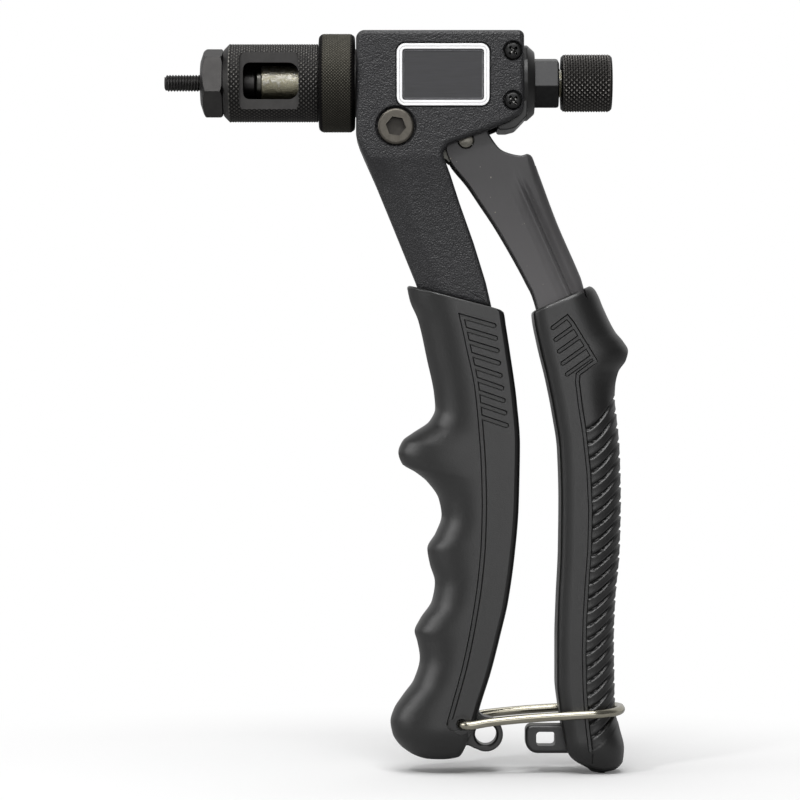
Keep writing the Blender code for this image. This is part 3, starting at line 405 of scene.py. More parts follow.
slide = settle(slide, 30)
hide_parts("draw_sleeve")
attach(slide, "draw_sleeve_body")
dress(blued_steel, "return_spring", "draw_collar", "trunnion_roller_left", "trunnion_roller_right")

# ---- spindle and mandrel ----
# The spindle's collar shows in the nose window, dull olive with bright scuffs, and a painted highlight makes
# it brighter on top.
# The M6 mandrel is a blackened hardened screw with a real 1 mm thread; its head and a retaining disc sit
# ahead of the collar.
collar_scuffs_and_top_highlight, tree, shader, spot = finish("phosphated_steel_scuffs_and_top_highlight", Roughness=0.42, Metallic=1)
height = node(tree, "SeparateXYZ", {0: spot}).outputs["Z"]
worn = node(tree, "TexNoise", {"Vector": spot, "Scale": 750, "Detail": 6, "Roughness": 0.7,
                               "Distortion": 1.6})
# painted highlight: the collar's top is pushed towards the bright tone by its height
top = node(tree, "MapRange", {"Value": height, "From Min": 0.2345, "From Max": 0.2385, "To Min": -0.14,
                              "To Max": 0.03})
edge = node(tree, "Math", {0: worn, 1: top}, operation="ADD")
share = node(tree, "MapRange", {"Value": edge, "From Min": 0.46, "From Max": 0.58})
wire(shader, {
    "Base Color": node(tree, "Mix", {0: share, 6: "#aaa58f", 7: "#c3c1b9"}, data_type="RGBA"),
    "Normal": node(tree, "Bump", {"Height": worn, "Strength": 1, "Distance": 0.0003})})
black_oxide = mottled("black_oxide_steel", ("#3a3939", "#504f4e"), 0.46, (260, 6, 0.65), (0.25, 0.00008),
                      Metallic=1)

spindle = turned("spindle_shaft", [(-32.6, 5.7), (-32.45, 5.95), (-32.2, 6.05), (-10.6, 6.05),
                                   (-10.6, SHAFT_R), (80, SHAFT_R)], collar_scuffs_and_top_highlight)
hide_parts("spindle")
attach(spindle, "spindle_body")

THREAD_PITCH, THREAD_DEPTH, MANDREL_R, MANDREL_TIP, HEAD_X = 1, 0.42, 2.9, -66.2, -38.8
around, along = 48, np.arange(MANDREL_TIP + 0.05, HEAD_X, THREAD_PITCH / 8)
turns = np.arange(around) / around
angles = tau * turns
thread = []
for x in along:
    flank = np.abs((x / THREAD_PITCH + turns) % 1 - 0.5) * 2
    radius = MANDREL_R - THREAD_DEPTH * np.clip(1.15 - 1.3 * flank, 0, 1)
    radius = radius - max(0, MANDREL_TIP + 0.9 - x) * 0.8  # the tip tapers
    thread.append(np.stack([np.full(around, x), radius * np.cos(angles), radius * np.sin(angles)], -1))
screw = skin("mandrel_thread", thread, black_oxide, 50)
head = turned("mandrel_head", [(-38.9, 4.1), (-38.75, 4.4), (-38.4, 4.5), (-35.2, 4.5), (-34.8, 4.2)],
              black_oxide)
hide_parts("mandrel")
retainer = turned("mandrel_disc", [(-34.6, 5), (-34.2, 5.4), (-33.9, 5.5), (-32.8, 5.5)], zinc_plate)
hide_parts("mandrel_retainer")
for piece in (screw, head, retainer):
    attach(piece, "spindle_body")

# ---- knob ----
# Turned steel knob on the spindle's rear end with a coarse diamond knurl, blackened, its points rubbed
# bright by hands.


def knurl(x, turn, count, pitch):
    """Height from 0 in the grooves to 1 on the points of a diamond knurl with count points round."""
    first, second = turn * count + x / pitch, turn * count - x / pitch
    return 2 * np.minimum(np.abs((first + 0.5) % 1 - 0.5), np.abs((second + 0.5) % 1 - 0.5))


def knurled(profile, count, pitch, depth, span, fine=4):
    """Rings of a turned piece with a diamond knurl over span, (x0, x1, least radius), fading at its ends."""
    turn = np.arange(count * fine) / (count * fine)
    angles = tau * turn
    rings = []
    for (x0, r0), (x1, r1) in zip(profile, profile[1:]):
        steps = max(1, round(abs(x1 - x0) / (pitch / fine))) if min(r0, r1) > span[2] else 1
        for k in range(steps):
            share = k / steps
            x, radius = x0 + (x1 - x0) * share, r0 + (r1 - r0) * share
            fade = min(max((x - span[0]) / 0.4, 0), max((span[1] - x) / 0.4, 0), 1) * (radius > span[2])
            r = radius - depth * fade * (1 - knurl(x, turn, count, pitch))
            rings.append(np.stack([np.full(len(r), x), r * np.cos(angles), r * np.sin(angles)], -1))
    x, radius = profile[-1]
    rings.append(np.stack([np.full(len(angles), x), radius * np.cos(angles), radius * np.sin(angles)], -1))
    return rings


def knurl_with_groove_shade(name, colour, tip, radius, depth, roughness=0.45):
    """Blackened steel whose knurl grooves are painted darker as shade; its points, at that radius, have
    rubbed lighter.
    """
    made, tree, shader, spot = finish(name, Roughness=roughness, Metallic=1)
    split = node(tree, "SeparateXYZ", {0: spot})
    off = node(tree, "Math", {0: split.outputs["Z"], 1: ORIGIN.z * MM}, operation="SUBTRACT")
    flat = node(tree, "CombineXYZ", {"Y": split.outputs["Y"], "Z": off})
    away = node(tree, "VectorMath", {0: flat}, operation="LENGTH")
    groove_shade, rub = [node(tree, "MapRange", {"Value": away, "From Min": (radius - depth * low) * MM,
                                         "From Max": (radius - depth * high) * MM})
                 for low, high in ((1, 0.3), (0.4, 0))]
    # painted shade: near black in the grooves, the steel's colour on the points
    base = node(tree, "Mix", {0: groove_shade, 6: "#1a1919", 7: colour}, data_type="RGBA")
    dirt = node(tree, "TexNoise", {"Vector": spot, "Scale": 420, "Detail": 5, "Roughness": 0.7})
    patch = node(tree, "MapRange", {"Value": dirt, "From Min": 0.4, "From Max": 0.7})
    amount = node(tree, "Math", {0: rub, 1: patch}, operation="MULTIPLY")
    wire(shader, {"Base Color": node(tree, "Mix", {0: amount, 6: base, 7: tip}, data_type="RGBA")})
    return made


knob_steel = knurl_with_groove_shade("rubbed_black_knob_steel", "#575553", "#b2b0aa", 10, 0.75)
KNOB = [(70.4, 9), (70.7, 9.25), (71.4, 10), (86.7, 10), (87.5, 9.3), (87.8, 9)]
knob = skin("knob_grip", knurled(KNOB, 35, 1.8, 0.75, (71, 87.1, 9.2), 8), knob_steel, 60)
cut(knob, turned("grub_hole", [(82, 1.9), (87.5, 1.9), (87.9, 2.2), (95, 2.2)], knob_steel))
knob = settle(knob, 60)
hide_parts("knob", "knob_grub_screw")
grub = turned("grub_screw", [(81.5, 1.6), (86.8, 1.6), (87, 1.4)], knob_steel, sides=32)
for piece in (knob, grub):
    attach(piece, "spindle_body")

# ---- rear cap and its screws ----
# A glossy injection-moulded nylon block that closes the cavity behind and guides the hexagon; four black
# pan-head screws with cross recesses hold it.
glossy_nylon = mottled("glossy_moulded_nylon", "#1c1c1c", (0.2, 0.4), (120, 2), (0.1, 0.0002))
CAP_HALF = CAVITY_HALF - 0.3
block = rounded([(48.4, -16.9), (48.4, 11.4), (58.5, 11.4), (58.5, -12), (54.6, -16.1), (51.6, -16.9)],
                [1, 1, 0, 2.5, 2.5, 2])
cap = plate("cap_block", block, -CAP_HALF, CAP_HALF, glossy_nylon, 0.4, 3)
join(cap, turned("cap_flange", [(57.4, 9.8), (57.4, 13), (58.5, 13), (58.8, 12.9), (61, 10.9),
                                (61.2, 10.6)], glossy_nylon, phase=0.02))
cut(cap, rod("cap_bore", (40, 70), 9.5, glossy_nylon, phase=0.01))
cap = settle(cap)
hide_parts("rear_cap")
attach(cap, "frame")

black_screw = mottled("black_phosphated_screw", ("#1e1e1e", "#383838"), 0.36, (900, 3), Metallic=0.8)
# painted shade and painted glints: the cross recess is painted near black, with bright metal spots for
# glints and for wear
recess_shade_and_glints, tree, shader, spot = finish("screw_recess_painted_shade_and_glints", Roughness=0.25, Metallic=1)
glint_blotch = node(tree, "TexNoise", {"Vector": spot, "Scale": 1500, "Detail": 2})
share = node(tree, "MapRange", {"Value": glint_blotch, "From Min": 0.5, "From Max": 0.62})
wire(shader, {"Base Color": node(tree, "Mix", {0: share, 6: "#161616", 7: "#a3a29f"}, data_type="RGBA")})
PAN_HEAD = [
    (10.2, 1.8), (13.4, 1.8), (13.4, 3), (13.9, 3), (14.3, 2.9), (14.6, 2.62), (14.8, 2.15), (14.88, 1.5)]
for number, (side, at) in enumerate([(side, at) for side in (-1, 1) for at in SCREWS], 1):
    head = turned("pan_head_%d" % number, [(side * y, r) for y, r in PAN_HEAD], black_screw, at, 64)
    for turn in (0.7, 0.7 + pi / 2):
        c, s = cos(turn), sin(turn)
        rings = [[(at[0] + a * c - b * s, side * level, at[1] + a * s + b * c)
                  for a, b in ((-long, -wide), (long, -wide), (long, wide), (-long, wide))]
                 for level, long, wide in ((13.5, 1.1, 0.3), (15.4, 2.1, 0.56))]
        cut(head, skin("recess", rings, black_screw))
    head = settle(head, 30)
    head.data.materials.append(recess_shade_and_glints)
    # the recess faces take the painted shade and glints
    for face in head.data.polygons:
        middle = face.center / MM - ORIGIN
        if abs(middle.y) < 14.7 and hypot(middle.x - at[0], middle.z - at[1]) < 2:
            face.material_index = 1
    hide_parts("cap_screw_%d" % number)
    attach(head, "frame")

# ---- nose sleeve ----
# Blackened steel tube with a fine diamond knurl, screwed into the casting; a flat is milled on its near side
# and a window cut through that.
nose_steel = knurl_with_groove_shade("rubbed_black_nose_steel", "#4b4a49", "#9e9b93", 13.5, 0.5)
NOSE = [
    (-45.7, 7.8), (-45.7, 11.2), (-45.5, 11.55), (-43.7, 13.4), (-43.4, 13.5), (-13.2, 13.5), (-13.2, 11.7),
    (8.6, 11.7), (8.6, 9.5), (-38.8, 9.5), (-38.8, 7.8)]
NOSE_FLAT = 8.84
nose = skin("nose_tube", knurled(NOSE, 50, 1.7, 0.5, (-43.6, -12, 12.5), 8), nose_steel, 60, closed=False)
cut(nose, plate("pocket", rounded(oblong(-40, -19.6, -10.4, 10.4), 2.9), -20, -NOSE_FLAT, nose_steel),
    plate("window", rounded(oblong(-38.7, -19.8, -6.3, 6.3), [2.2, 3.4, 3.4, 2.2]), -21, 0, nose_steel))
nose = settle(nose, 60)
nose.data.materials.append(black_oxide)  # for the bore and the flat, which have no knurl
bm = bmesh.new()
bm.from_mesh(nose.data)
for face in bm.faces:
    middle = face.calc_center_median() / MM - ORIGIN
    face.material_index = int(hypot(middle.y, middle.z) < 12.6 or abs(middle.y + NOSE_FLAT) < 0.02)
for edge in bm.edges:
    if len({face.material_index for face in edge.link_faces}) > 1:
        edge.smooth = False
bm.to_mesh(nose.data)
bm.free()
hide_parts("nose_sleeve")
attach(nose, "nose")

# ---- anvil ----
# Hexagon flange in blackened steel, turned to a dome-shaped chamfer on both faces.
dome = turned("anvil_flange", [(-53.6, 7.6), (-52.6, 10.6), (-52, 11.7), (-51.6, 12.25),
                               (-51.2, 12.6), (-46.9, 12.6), (-46.4, 12.1), (-46, 11.4)],
              black_oxide, phase=0.013, sharp=25)
ANVIL_R, ANVIL_TURN = 21.3 / sqrt(3), radians(138)
cut(dome, rod("hexagon", (-54.6, -45), ANVIL_R, black_oxide, sides=6, phase=ANVIL_TURN), how="INTERSECT")
join(dome, rod("spigot", (-49, -42.4), 7.5, black_oxide, phase=0.02))
cut(dome, turned("anvil_hole", [(-60, 3.9), (-53.6, 3.6), (-53.2, 3.2), (-50.5, 3.2), (-50.5, 5.4),
                                (-35, 5.4)], black_oxide, phase=0.03))
anvil = settle(dome, 25)
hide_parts("anvil")
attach(anvil, "nose")

# ---- lock ring ----
# Ring nut with a very fine diamond knurl; its oxide has gone olive-brown.
ring_steel = knurl_with_groove_shade("olive_black_ring_steel", "#4f4d45", "#8f8c83", 17, 0.35, 0.5)
RING = [
    (-12.9, 12), (-12.9, 15.4), (-12.75, 15.95), (-12.4, 16.4), (-11.9, 16.8), (-11.3, 17), (-2.1, 17),
    (-1.5, 16.8), (-1, 16.4), (-0.65, 15.95), (-0.5, 15.4), (-0.5, 12)]
ring = skin("ring_nut", knurled(RING, 97, 1.1, 0.35, (-12.7, -0.7, 15.9), 6), ring_steel, 60, closed=False)
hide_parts("lock_ring")
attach(ring, "lock_ring_body")

# ---- lever arm ----
# A U-section pressed from 2 mm steel sheet: a cheek each side of the links, a back web below, and a crease
# down each cheek. It is stoved with satin grey paint, which has scuffed and chipped a little.
LEVER_LEFT = [
    (30.9, -20.4), (30.8, -24), (32.8, -28.6), (38, -34.9), (42.6, -41.7), (47.1, -48.4), (51.2, -55.2),
    (55, -61.9), (58.6, -68.7), (61.6, -75.5), (66.5, -95), (71.5, -113), (74, -143)]
LEVER_RIGHT = [
    (45.1, -17.6), (46.8, -20.4), (49.4, -23.5), (52.9, -25), (56.4, -25.6), (59.9, -25.3), (62.5, -31.7),
    (68.9, -48.8), (75.5, -63.9), (77.6, -69.6), (79.8, -80), (82.8, -105), (84, -140)]
satin_paint, tree, shader, spot = finish("satin_stoved_grey_paint")
scuff = node(tree, "Mapping", {"Vector": spot, "Scale": (1, 1, 0.25), "Rotation": (0, 0.4, 0)})
scuff = node(tree, "TexNoise", {"Vector": scuff, "Scale": 260, "Detail": 5, "Roughness": 0.6})
tint = node(tree, "Mix", {0: scuff, 6: "#3a393a", 7: "#474647"}, data_type="RGBA")
height = node(tree, "SeparateXYZ", {0: spot}).outputs["Z"]  # painted light: paler towards the grip
paler_low_painted_light = node(tree, "MapRange", {"Value": height, "From Min": 0.205, "From Max": 0.165, "To Max": 0.5})
tint = node(tree, "Mix", {0: paler_low_painted_light, 6: tint, 7: "#686667"}, data_type="RGBA")
nick = node(tree, "TexNoise", {"Vector": spot, "Scale": 700, "Detail": 1})
nick = node(tree, "MapRange", {"Value": nick, "From Min": 0.775, "From Max": 0.79, "To Max": 0.6})
wire(shader, {
    "Base Color": node(tree, "Mix", {0: nick, 6: tint, 7: "#a19b90"}, data_type="RGBA"),
    "Roughness": node(tree, "MapRange", {"Value": scuff, "To Min": 0.28, "To Max": 0.46})})


def through(line, steps=4):
    """A smooth curve through the points of a line, in steps between each two."""
    points = [Vector(p) for p in line]
    run = [2 * points[0] - points[1]] + points + [2 * points[-1] - points[-2]]
    out = []
    for p0, p1, p2, p3 in zip(run, run[1:], run[2:], run[3:]):
        for k in range(steps):
            t = k / steps
            out.append(tuple(0.5 * (2 * p1 + (p2 - p0) * t + (2 * p0 - 5 * p1 + 4 * p2 - p3) * t * t
                                    + (3 * p1 - p0 - 3 * p2 + p3) * t ** 3)))
    return out + [tuple(points[-1])]


CHEEK_HALF, SHEET, FORK_R = 10.5, 2, 6.2
fork = arc(TRUNNION, FORK_R, range(10, 171, 8))
right_run = through(LEVER_RIGHT)[::-1]
lever_outline = right_run + [(45.4, -8)] + fork + [(34.9, -8), (33.4, -14)] + through(LEVER_LEFT)
# roundings of the sheet's cut edge, of its pressed top edge, and of the bend into the back web, beyond WEB_X
SHEARED, PRESSED, BEND_R, WEB_X = 0.35, 0.8, 3, 59
radii = [BEND_R if x > WEB_X else PRESSED for x, z in right_run]
radii += [SHEARED] * (len(lever_outline) - len(radii))
lever = plate("lever_channel", lever_outline, -CHEEK_HALF, CHEEK_HALF, satin_paint, radii, 6)
CREASE, CREASE_FOOT, CREASE_RUN = Vector((55.1, 0, -31.9)), Vector((70.2, 0, -66)), 50
along = (CREASE_FOOT - CREASE).normalized()
across = Vector((-along.z, 0, along.x))
bm = bmesh.new()
bm.from_mesh(lever.data)
for direction, steps in (
        (across, (-5, -4, -3.2, -2.5, -1.9, -1.4, -1, -0.6, -0.3, 0, 0.3, 0.6, 1, 1.6, 2.4)),
        (along, range(-2, CREASE_RUN + 2, 3))):
    for step in steps:
        bmesh.ops.bisect_plane(bm, geom=bm.verts[:] + bm.edges[:] + bm.faces[:], plane_no=direction,
                               plane_co=(ORIGIN + CREASE + direction * step) * MM)
for vert in bm.verts:
    at = vert.co / MM - ORIGIN
    u, v = (at - CREASE).dot(across), (at - CREASE).dot(along)
    if u > 0 and 0 < v < CREASE_RUN:
        vert.co.y *= 1 - 0.016 * min(u, 7) * min(v / 14, 1)  # the sheet leans in beyond the crease
    if abs(at.y) > CHEEK_HALF - 0.05 and 0 < v < CREASE_RUN:
        ridge = 0.8 * exp(-((u + 1) / 1) ** 2) + 0.35 * exp(-((u + 2.8) / 1.7) ** 2)
        dip = 0.75 * exp(-((u - 0.6) / 0.8) ** 2)
        vert.co.y += copysign((ridge - dip) * min(v / 9, 1) * MM, vert.co.y)
bm.to_mesh(lever.data)
bm.free()
inner = [(25, 12), (66, 12), (66, -22), (63.9, -22.1)] + [(x - SHEET, z) for x, z in LEVER_RIGHT[6:]]
inner += [(60, -146), (45, -110), (25, -60)]
cut(lever, plate("channel_inside", inner, SHEET - CHEEK_HALF, CHEEK_HALF - SHEET, satin_paint),
    rod("fork_hole", (-15, 15), 4, satin_paint, TRUNNION, phase=0.02),
    turned("pin_hole", [(-15, 3.3), (-10.5, 3), (-10.2, 2.75), (10.2, 2.75), (10.5, 3), (15, 3.3)],
           satin_paint, LEVER_PIN))
lever = settle(lever, 40)
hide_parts("lever_arm")
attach(lever, "lever")

# ground steel that the lever's cheeks have dulled in streaks, still the brightest thing near it
bright_pin = mottled("ground_silver_steel", ("#47443f", "#9b988f"), 0.32, (1100, 5, 0.7), Metallic=1)
pin = turned("lever_pin_disc", [(-10.7, 2.2), (-10.6, 2.4), (-10.4, 2.5), (10.4, 2.5), (10.6, 2.4),
                                (10.7, 2.2)], bright_pin, LEVER_PIN, 48)
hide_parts("lever_pin")
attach(pin, "lever")

# ---- fixed grip ----
# Hard polypropylene moulded on the arm's core: a rounded finger side with swells and a stop, a flat panel
# each side with a comb of slanted slots, and a channel along the panel's edge. Satin black, with a fine
# spark-eroded texture.
FINGER_SIDE = [
    (17.3, -69.9), (18.4, -75), (21.2, -81.7), (24.3, -95.4), (26.7, -107), (27.1, -112), (25.2, -116.4),
    (19.3, -120.6), (15.9, -123.2), (14.4, -127.2), (15.7, -131.2), (20.2, -134), (24.3, -137.3),
    (28.4, -143.5), (29.3, -148.9), (27.3, -154.9), (24.4, -160.3), (25.2, -165.5), (27, -172), (26, -178.2),
    (21.9, -184.6), (20, -188.9), (20.9, -192.2), (21.8, -198), (19.8, -205.4), (16, -210.8), (12.8, -215.8),
    (11.7, -219.8), (12.4, -224), (14.6, -227.6), (18.4, -230.6), (22.6, -232.6)]
PALM_SIDE = [
    (46.9, -77.4), (50.4, -79.2), (51.2, -84), (52.6, -93), (54.9, -109.7), (56, -124.4), (55.8, -136.8),
    (55.5, -146.8), (54.3, -161), (51.9, -178.2), (49.5, -188.6), (46, -202.3), (42.7, -212.7),
    (40.9, -218.9), (38.6, -224.6), (36.9, -229), (35.4, -231.6), (33, -232.6)]
CHANNEL_EDGE = [
    (33, -74), (34.9, -79.7), (37.7, -92.2), (40.3, -104.7), (41.8, -119.8), (42.6, -132), (42.9, -144.8),
    (42.6, -156.9), (41.4, -171.1), (39.3, -185.1), (36.4, -199.4), (33, -212), (31, -219), (29.8, -223.1),
    (28, -234)]
GRIP_HALF = 14


def curve(line):
    """x as a smooth function of height through a line's points, without overshoot."""
    z, x = np.array([p[1] for p in line])[::-1], np.array([p[0] for p in line])[::-1]
    step, slope = np.diff(z), np.diff(x) / np.diff(z)
    mean = np.where(slope[1:] * slope[:-1] > 0,
                    2 * slope[1:] * slope[:-1] / (slope[1:] + slope[:-1] + 1e-12), 0)
    tangent = np.concatenate([[slope[0]], mean, [slope[-1]]])

    def value(at):
        at = np.clip(at, z[0], z[-1])
        k = np.clip(np.searchsorted(z, at) - 1, 0, len(step) - 1)
        t = (at - z[k]) / step[k]
        return (x[k] * (1 + 2 * t) * (1 - t) ** 2 + step[k] * tangent[k] * t * (1 - t) ** 2
                + x[k + 1] * t * t * (3 - 2 * t) - step[k] * tangent[k + 1] * t * t * (1 - t))
    return value


def moulding(drops, round_x, band_x, flat_x, round_z, flat_z, half, corner, steps, lean, swell):
    """Rings of a grip: rounded towards round_x, flat panels from band_x, a flat face, softened corners."""
    rings = []
    fine = 64
    angle = np.pi * np.arange(fine + 1) / fine
    swell_x, swell_y = np.sin(angle) ** swell, np.sign(np.cos(angle)) * np.abs(np.cos(angle)) ** 0.86
    panel = np.linspace(0, 1, steps)[1:]
    # the corner starts at the panel with a crisp edge
    turn = lean + (np.pi / 2 - lean) * np.arange(1, 9) / 8
    out_x = (np.sin(turn) - np.sin(lean)) / (1 - np.sin(lean))
    in_y = (np.cos(lean) - np.cos(turn)) / np.cos(lean)
    for k in range(len(drops)):
        step = np.sign(flat_x[k] - round_x[k])
        cx, cy = corner[0] * step, corner[1]
        start = flat_x[k] - cx
        far = [band_x[k] + (start - band_x[k]) * panel, start + cx * out_x, np.full(9, flat_x[k])]
        far_y = [np.full(len(panel), half[k]), half[k] - cy * in_y,
                 np.linspace(half[k] - cy, cy - half[k], 11)[1:-1]]
        x = np.concatenate([band_x[k] + (round_x[k] - band_x[k]) * swell_x,
                            far[0], far[1], far[2], far[1][::-1][1:], [start], far[0][::-1][1:]])
        y = np.concatenate([half[k] * swell_y, -far_y[0], -far_y[1], -far_y[2], far_y[1][::-1][1:],
                            [half[k]], far_y[0][::-1][1:]])
        share = (x - round_x[k]) / (flat_x[k] - round_x[k])
        rings.append(np.stack([x, y, round_z[k] + (flat_z[k] - round_z[k]) * share], -1))
    return np.array(rings)


def stroke(line, wide):
    """Outline of a groove of that width along a line, with round ends."""
    points, left, right = [Vector(p) for p in line], [], []
    for before, here, after in zip(points[:1] + points[:-1], points, points[1:] + points[-1:]):
        a, b = (here - before).normalized(), (after - here).normalized()
        a, b = a if a.length else b, b if b.length else a
        n, m = Vector((-a.y, a.x)), Vector((-b.y, b.x))
        off = (n + m) * (wide / 2 / (1 + n.dot(m)))
        left.append(tuple(here + off))
        right.append(tuple(here - off))
    caps = []
    for end, far in ((points[-1], left[-1]), (points[0], right[0])):
        across = Vector(far) - end
        caps.append([tuple(end + across * cos(t) + Vector((across.y, -across.x)) * sin(t))
                     for t in np.linspace(0, pi, 9)[1:-1]])
    return left + caps[0] + right[::-1] + caps[1]


def grooves(lines, wide, surface, depth, look):
    """Cutters, one each side, for grooves that open into each other; their walls lean out by WALL_LEAN."""
    WALL_LEAN = 0.42
    cutters = []
    for side in (-1, 1):
        pieces = []
        for k, line in enumerate(lines):
            outline = stroke(line, wide + 0.004 * k)  # no two cutters share a plane
            levels = ((outline, 20 + 0.05 * k), (outline, surface + 0.05 + 0.003 * k),
                      (inset(outline, WALL_LEAN), surface - depth + 0.003 * k))
            pieces.append(skin("groove", [[(x, side * y, z) for x, z in shape] for shape, y in levels],
                               look))
        join(pieces[0], *pieces[1:])
        cutters.append(settle(pieces[0]))
    return cutters


def ramp(value, low, high):
    t = np.clip((value - low) / (high - low), 0, 1)
    return t * t * (3 - 2 * t)


def drawn_in(share, radius):
    """How far a rounded rim of that radius draws in, at a share of the way to its very end."""
    return radius * (1 - np.sqrt(1 - np.clip(share, 0, 1) ** 2))


# the mould's real 0.1 mm grain is drawn at 0.3 mm, the finest that shows
grip_plastic, tree, shader, spot = finish("eroded_black_polypropylene", Roughness=0.36,
                                          Specular_IOR_Level=0.85)
grain = node(tree, "TexNoise", {"Vector": spot, "Scale": 3200, "Detail": 2})
cloud = node(tree, "TexNoise", {"Vector": spot, "Scale": 60, "Detail": 3})
wire(shader, {
    "Base Color": node(tree, "Mix", {0: cloud, 6: "#0e0e0e", 7: "#151515"}, data_type="RGBA"),
    "Normal": node(tree, "Bump", {"Height": grain, "Strength": 0.6, "Distance": 0.00008})})

GRIP_TOP, COMB_TEETH, COMB_WIDE, COMB_DEEP = -69.9, 8, 1.9, 0.9
drops = np.concatenate([np.linspace(0, 0.9, 8), np.arange(1.6, 150.6, 0.8), np.linspace(151.1, 161.7, 30),
                        np.linspace(161.8, 162.7, 10)])
round_z = GRIP_TOP - drops
slant = 7.7 + 0.5 * np.clip(drops / 8, 0, 1)  # the grip's top edge climbs towards the fingers
flat_z = round_z - slant * (1 - ramp(drops, 50, 95))
finger, palm, channel_at = curve(FINGER_SIDE)(round_z), curve(PALM_SIDE)(flat_z), curve(CHANNEL_EDGE)
band = np.minimum(channel_at((round_z + flat_z) / 2), palm - 4.5)
end = np.maximum(0, (drops - 150.7) / 12)
half = GRIP_HALF * np.sqrt(np.maximum(0.04, 1 - 0.85 * end ** 2.2))
rim = drawn_in(1 - drops / 0.9, 0.9) + drawn_in((drops - 161.6) / 1.15, 1.2)
rings = moulding(drops, finger + rim, band, palm - rim, round_z, flat_z, half - rim, (1.9, 3), 8, 0.65, 1.15)
grip = skin("grip_moulding", rings, grip_plastic, 70)
# the comb: a channel along the panel's edge, 0.85 mm inside it, and teeth that run from it to the palm side
comb = [[(47, -83.87), (36, -80.75)] + [(float(channel_at(z)) + 0.85, z)
                                        for z in np.arange(-85.5, -221, -2)]]
for k in range(1, COMB_TEETH + 1):
    share = k / COMB_TEETH
    height = -80.75 + (-114.85 + 80.75) * share
    comb.append([(float(channel_at(height)) + 0.85, height),
                 (47 + (51.2 - 47) * share, -83.87 + (-117.85 + 83.87) * share)])
cut(grip, *grooves(comb, COMB_WIDE, GRIP_HALF, COMB_DEEP, grip_plastic))
LUG_EYE, LUG_HALF = (44.5, -224.1), 4.5
lug = through([(37, -205), (41, -213.6), (42.3, -216.6), (44, -217.9), (45.8, -218.3)])
lug += arc(LUG_EYE, 5.9, range(70, -126, -9))
lug += through([(40.4, -228.8), (38.4, -227.9), (37, -228.2), (36, -229.2)])
lug += [(34, -230), (32, -228), (32, -208)]
join(grip, plate("lug", lug, -LUG_HALF, LUG_HALF, grip_plastic, 0.6, 3))
lug_hole = [
    (-20, 8), (-LUG_HALF, 4.4), (-4.1, 3.9), (-3.7, 3.7), (3.7, 3.7), (4.1, 3.9), (LUG_HALF, 4.4), (20, 8)]
cut(grip, turned("lug_hole", lug_hole, grip_plastic, LUG_EYE, 48))
HINGE = (36, -219.9)
bend_room = rounded(oblong(HINGE[0] - 4.8, HINGE[0] + 3.8, HINGE[1] - 1.9, HINGE[1] + 1.9), 1.6)
for side in (-1, 1):
    cut(grip, rod("eye_room", (side * 7.5, side * 20), 1.8, grip_plastic, HINGE, 40),
        rod("swing_room", (side * 12.6, side * 20.1), 3.45, grip_plastic, HINGE, 48),
        plate("bend_room", bend_room, *sorted((side * 11.2, side * 20)), grip_plastic))
grip = settle(grip, 25)
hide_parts("fixed_grip")
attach(grip, "frame")

# ---- lever grip ----
# The same polypropylene moulded on the lever: a thumb bump, a flat panel with a comb of slots each side, and
# a field of slanted pads that sweep round the palm side, below a channel that frames them.
INNER_SIDE = [
    (60.5, -78.4), (60.7, -81), (62.5, -90.3), (65.4, -102.3), (67.6, -113.4), (69.5, -126.5), (70, -143.7),
    (69.8, -161), (69, -178.2), (68.6, -192), (68.6, -205.8), (69.5, -214.4), (71.2, -224.8), (72.3, -229.6),
    (73.4, -231.4), (75.8, -233.4), (78.2, -234.8), (79.8, -235.9), (80.4, -237)]
OUTER_SIDE = [
    (81.4, -69.8), (83.4, -73.5), (84.9, -77.2), (89.1, -85.6), (91.9, -89), (93.6, -92.2), (92.9, -95.4),
    (90.2, -99.6), (89.2, -104.1), (89, -107.9), (89.5, -112.7), (90.8, -126.5), (91.2, -143.7),
    (90.8, -161), (89.3, -178.2), (88.8, -192), (89, -205.8), (89.2, -215.4), (90.6, -221.8), (92.2, -229),
    (91.8, -233.4), (89.4, -236.2), (86, -237.2)]
LEVER_HALF = 13
drops = np.concatenate([np.linspace(0, 1.4, 8), np.arange(1.7, 148, 0.3), np.linspace(148.2, 157.6, 50),
                        np.linspace(157.7, 158.7, 10)])
flat_z = -78.4 - drops
round_z = flat_z + 8.4 * np.maximum(0, 1 - drops / 26) - 0.3 * drops / 159.4
inner_x, outer_x = curve(INNER_SIDE)(flat_z), curve(OUTER_SIDE)(round_z)
end = np.maximum(0, (drops - 147) / 12)
half = LEVER_HALF * np.sqrt(np.maximum(0.04, 1 - 0.9 * end ** 2.2))
rim = drawn_in(1 - drops / 1.4, 1.2) + drawn_in((drops - 157.6) / 1.15, 1.2)
band = inner_x + 0.46 * (outer_x - inner_x)
rings = moulding(drops, outer_x - rim, band, inner_x + rim, round_z, flat_z, half - rim, (4.6, 3), 50, 0.35,
                 0.86)
x, y, z = np.moveaxis(rings, -1, 0)  # views of the rings, which the pads change
outer_edge = [
    (67, -84.2), (72.2, -80.2), (73.9, -82.9), (81.9, -95.9), (75.9, -100.4), (75.7, -103), (76.7, -111.2),
    (78.1, -120), (79.6, -134), (80.2, -147), (79.9, -160), (79, -172), (78.3, -184), (78, -196),
    (78.3, -208), (79, -219), (80.2, -229)]
# slanted pads: each steps out at its upper edge, falls back towards the next, and its left end is cut square
PAD_PITCH, PAD_TOP, PAD_COUNT, PAD_HEIGHT = 4.768, -120.3, 23, 3.3
PADS_END = PAD_PITCH * PAD_COUNT
left = np.interp(-z, [-p[1] for p in outer_edge[5:]], [p[0] for p in outer_edge[5:]]) + 0.55
run = np.clip(x - left, 0, None)
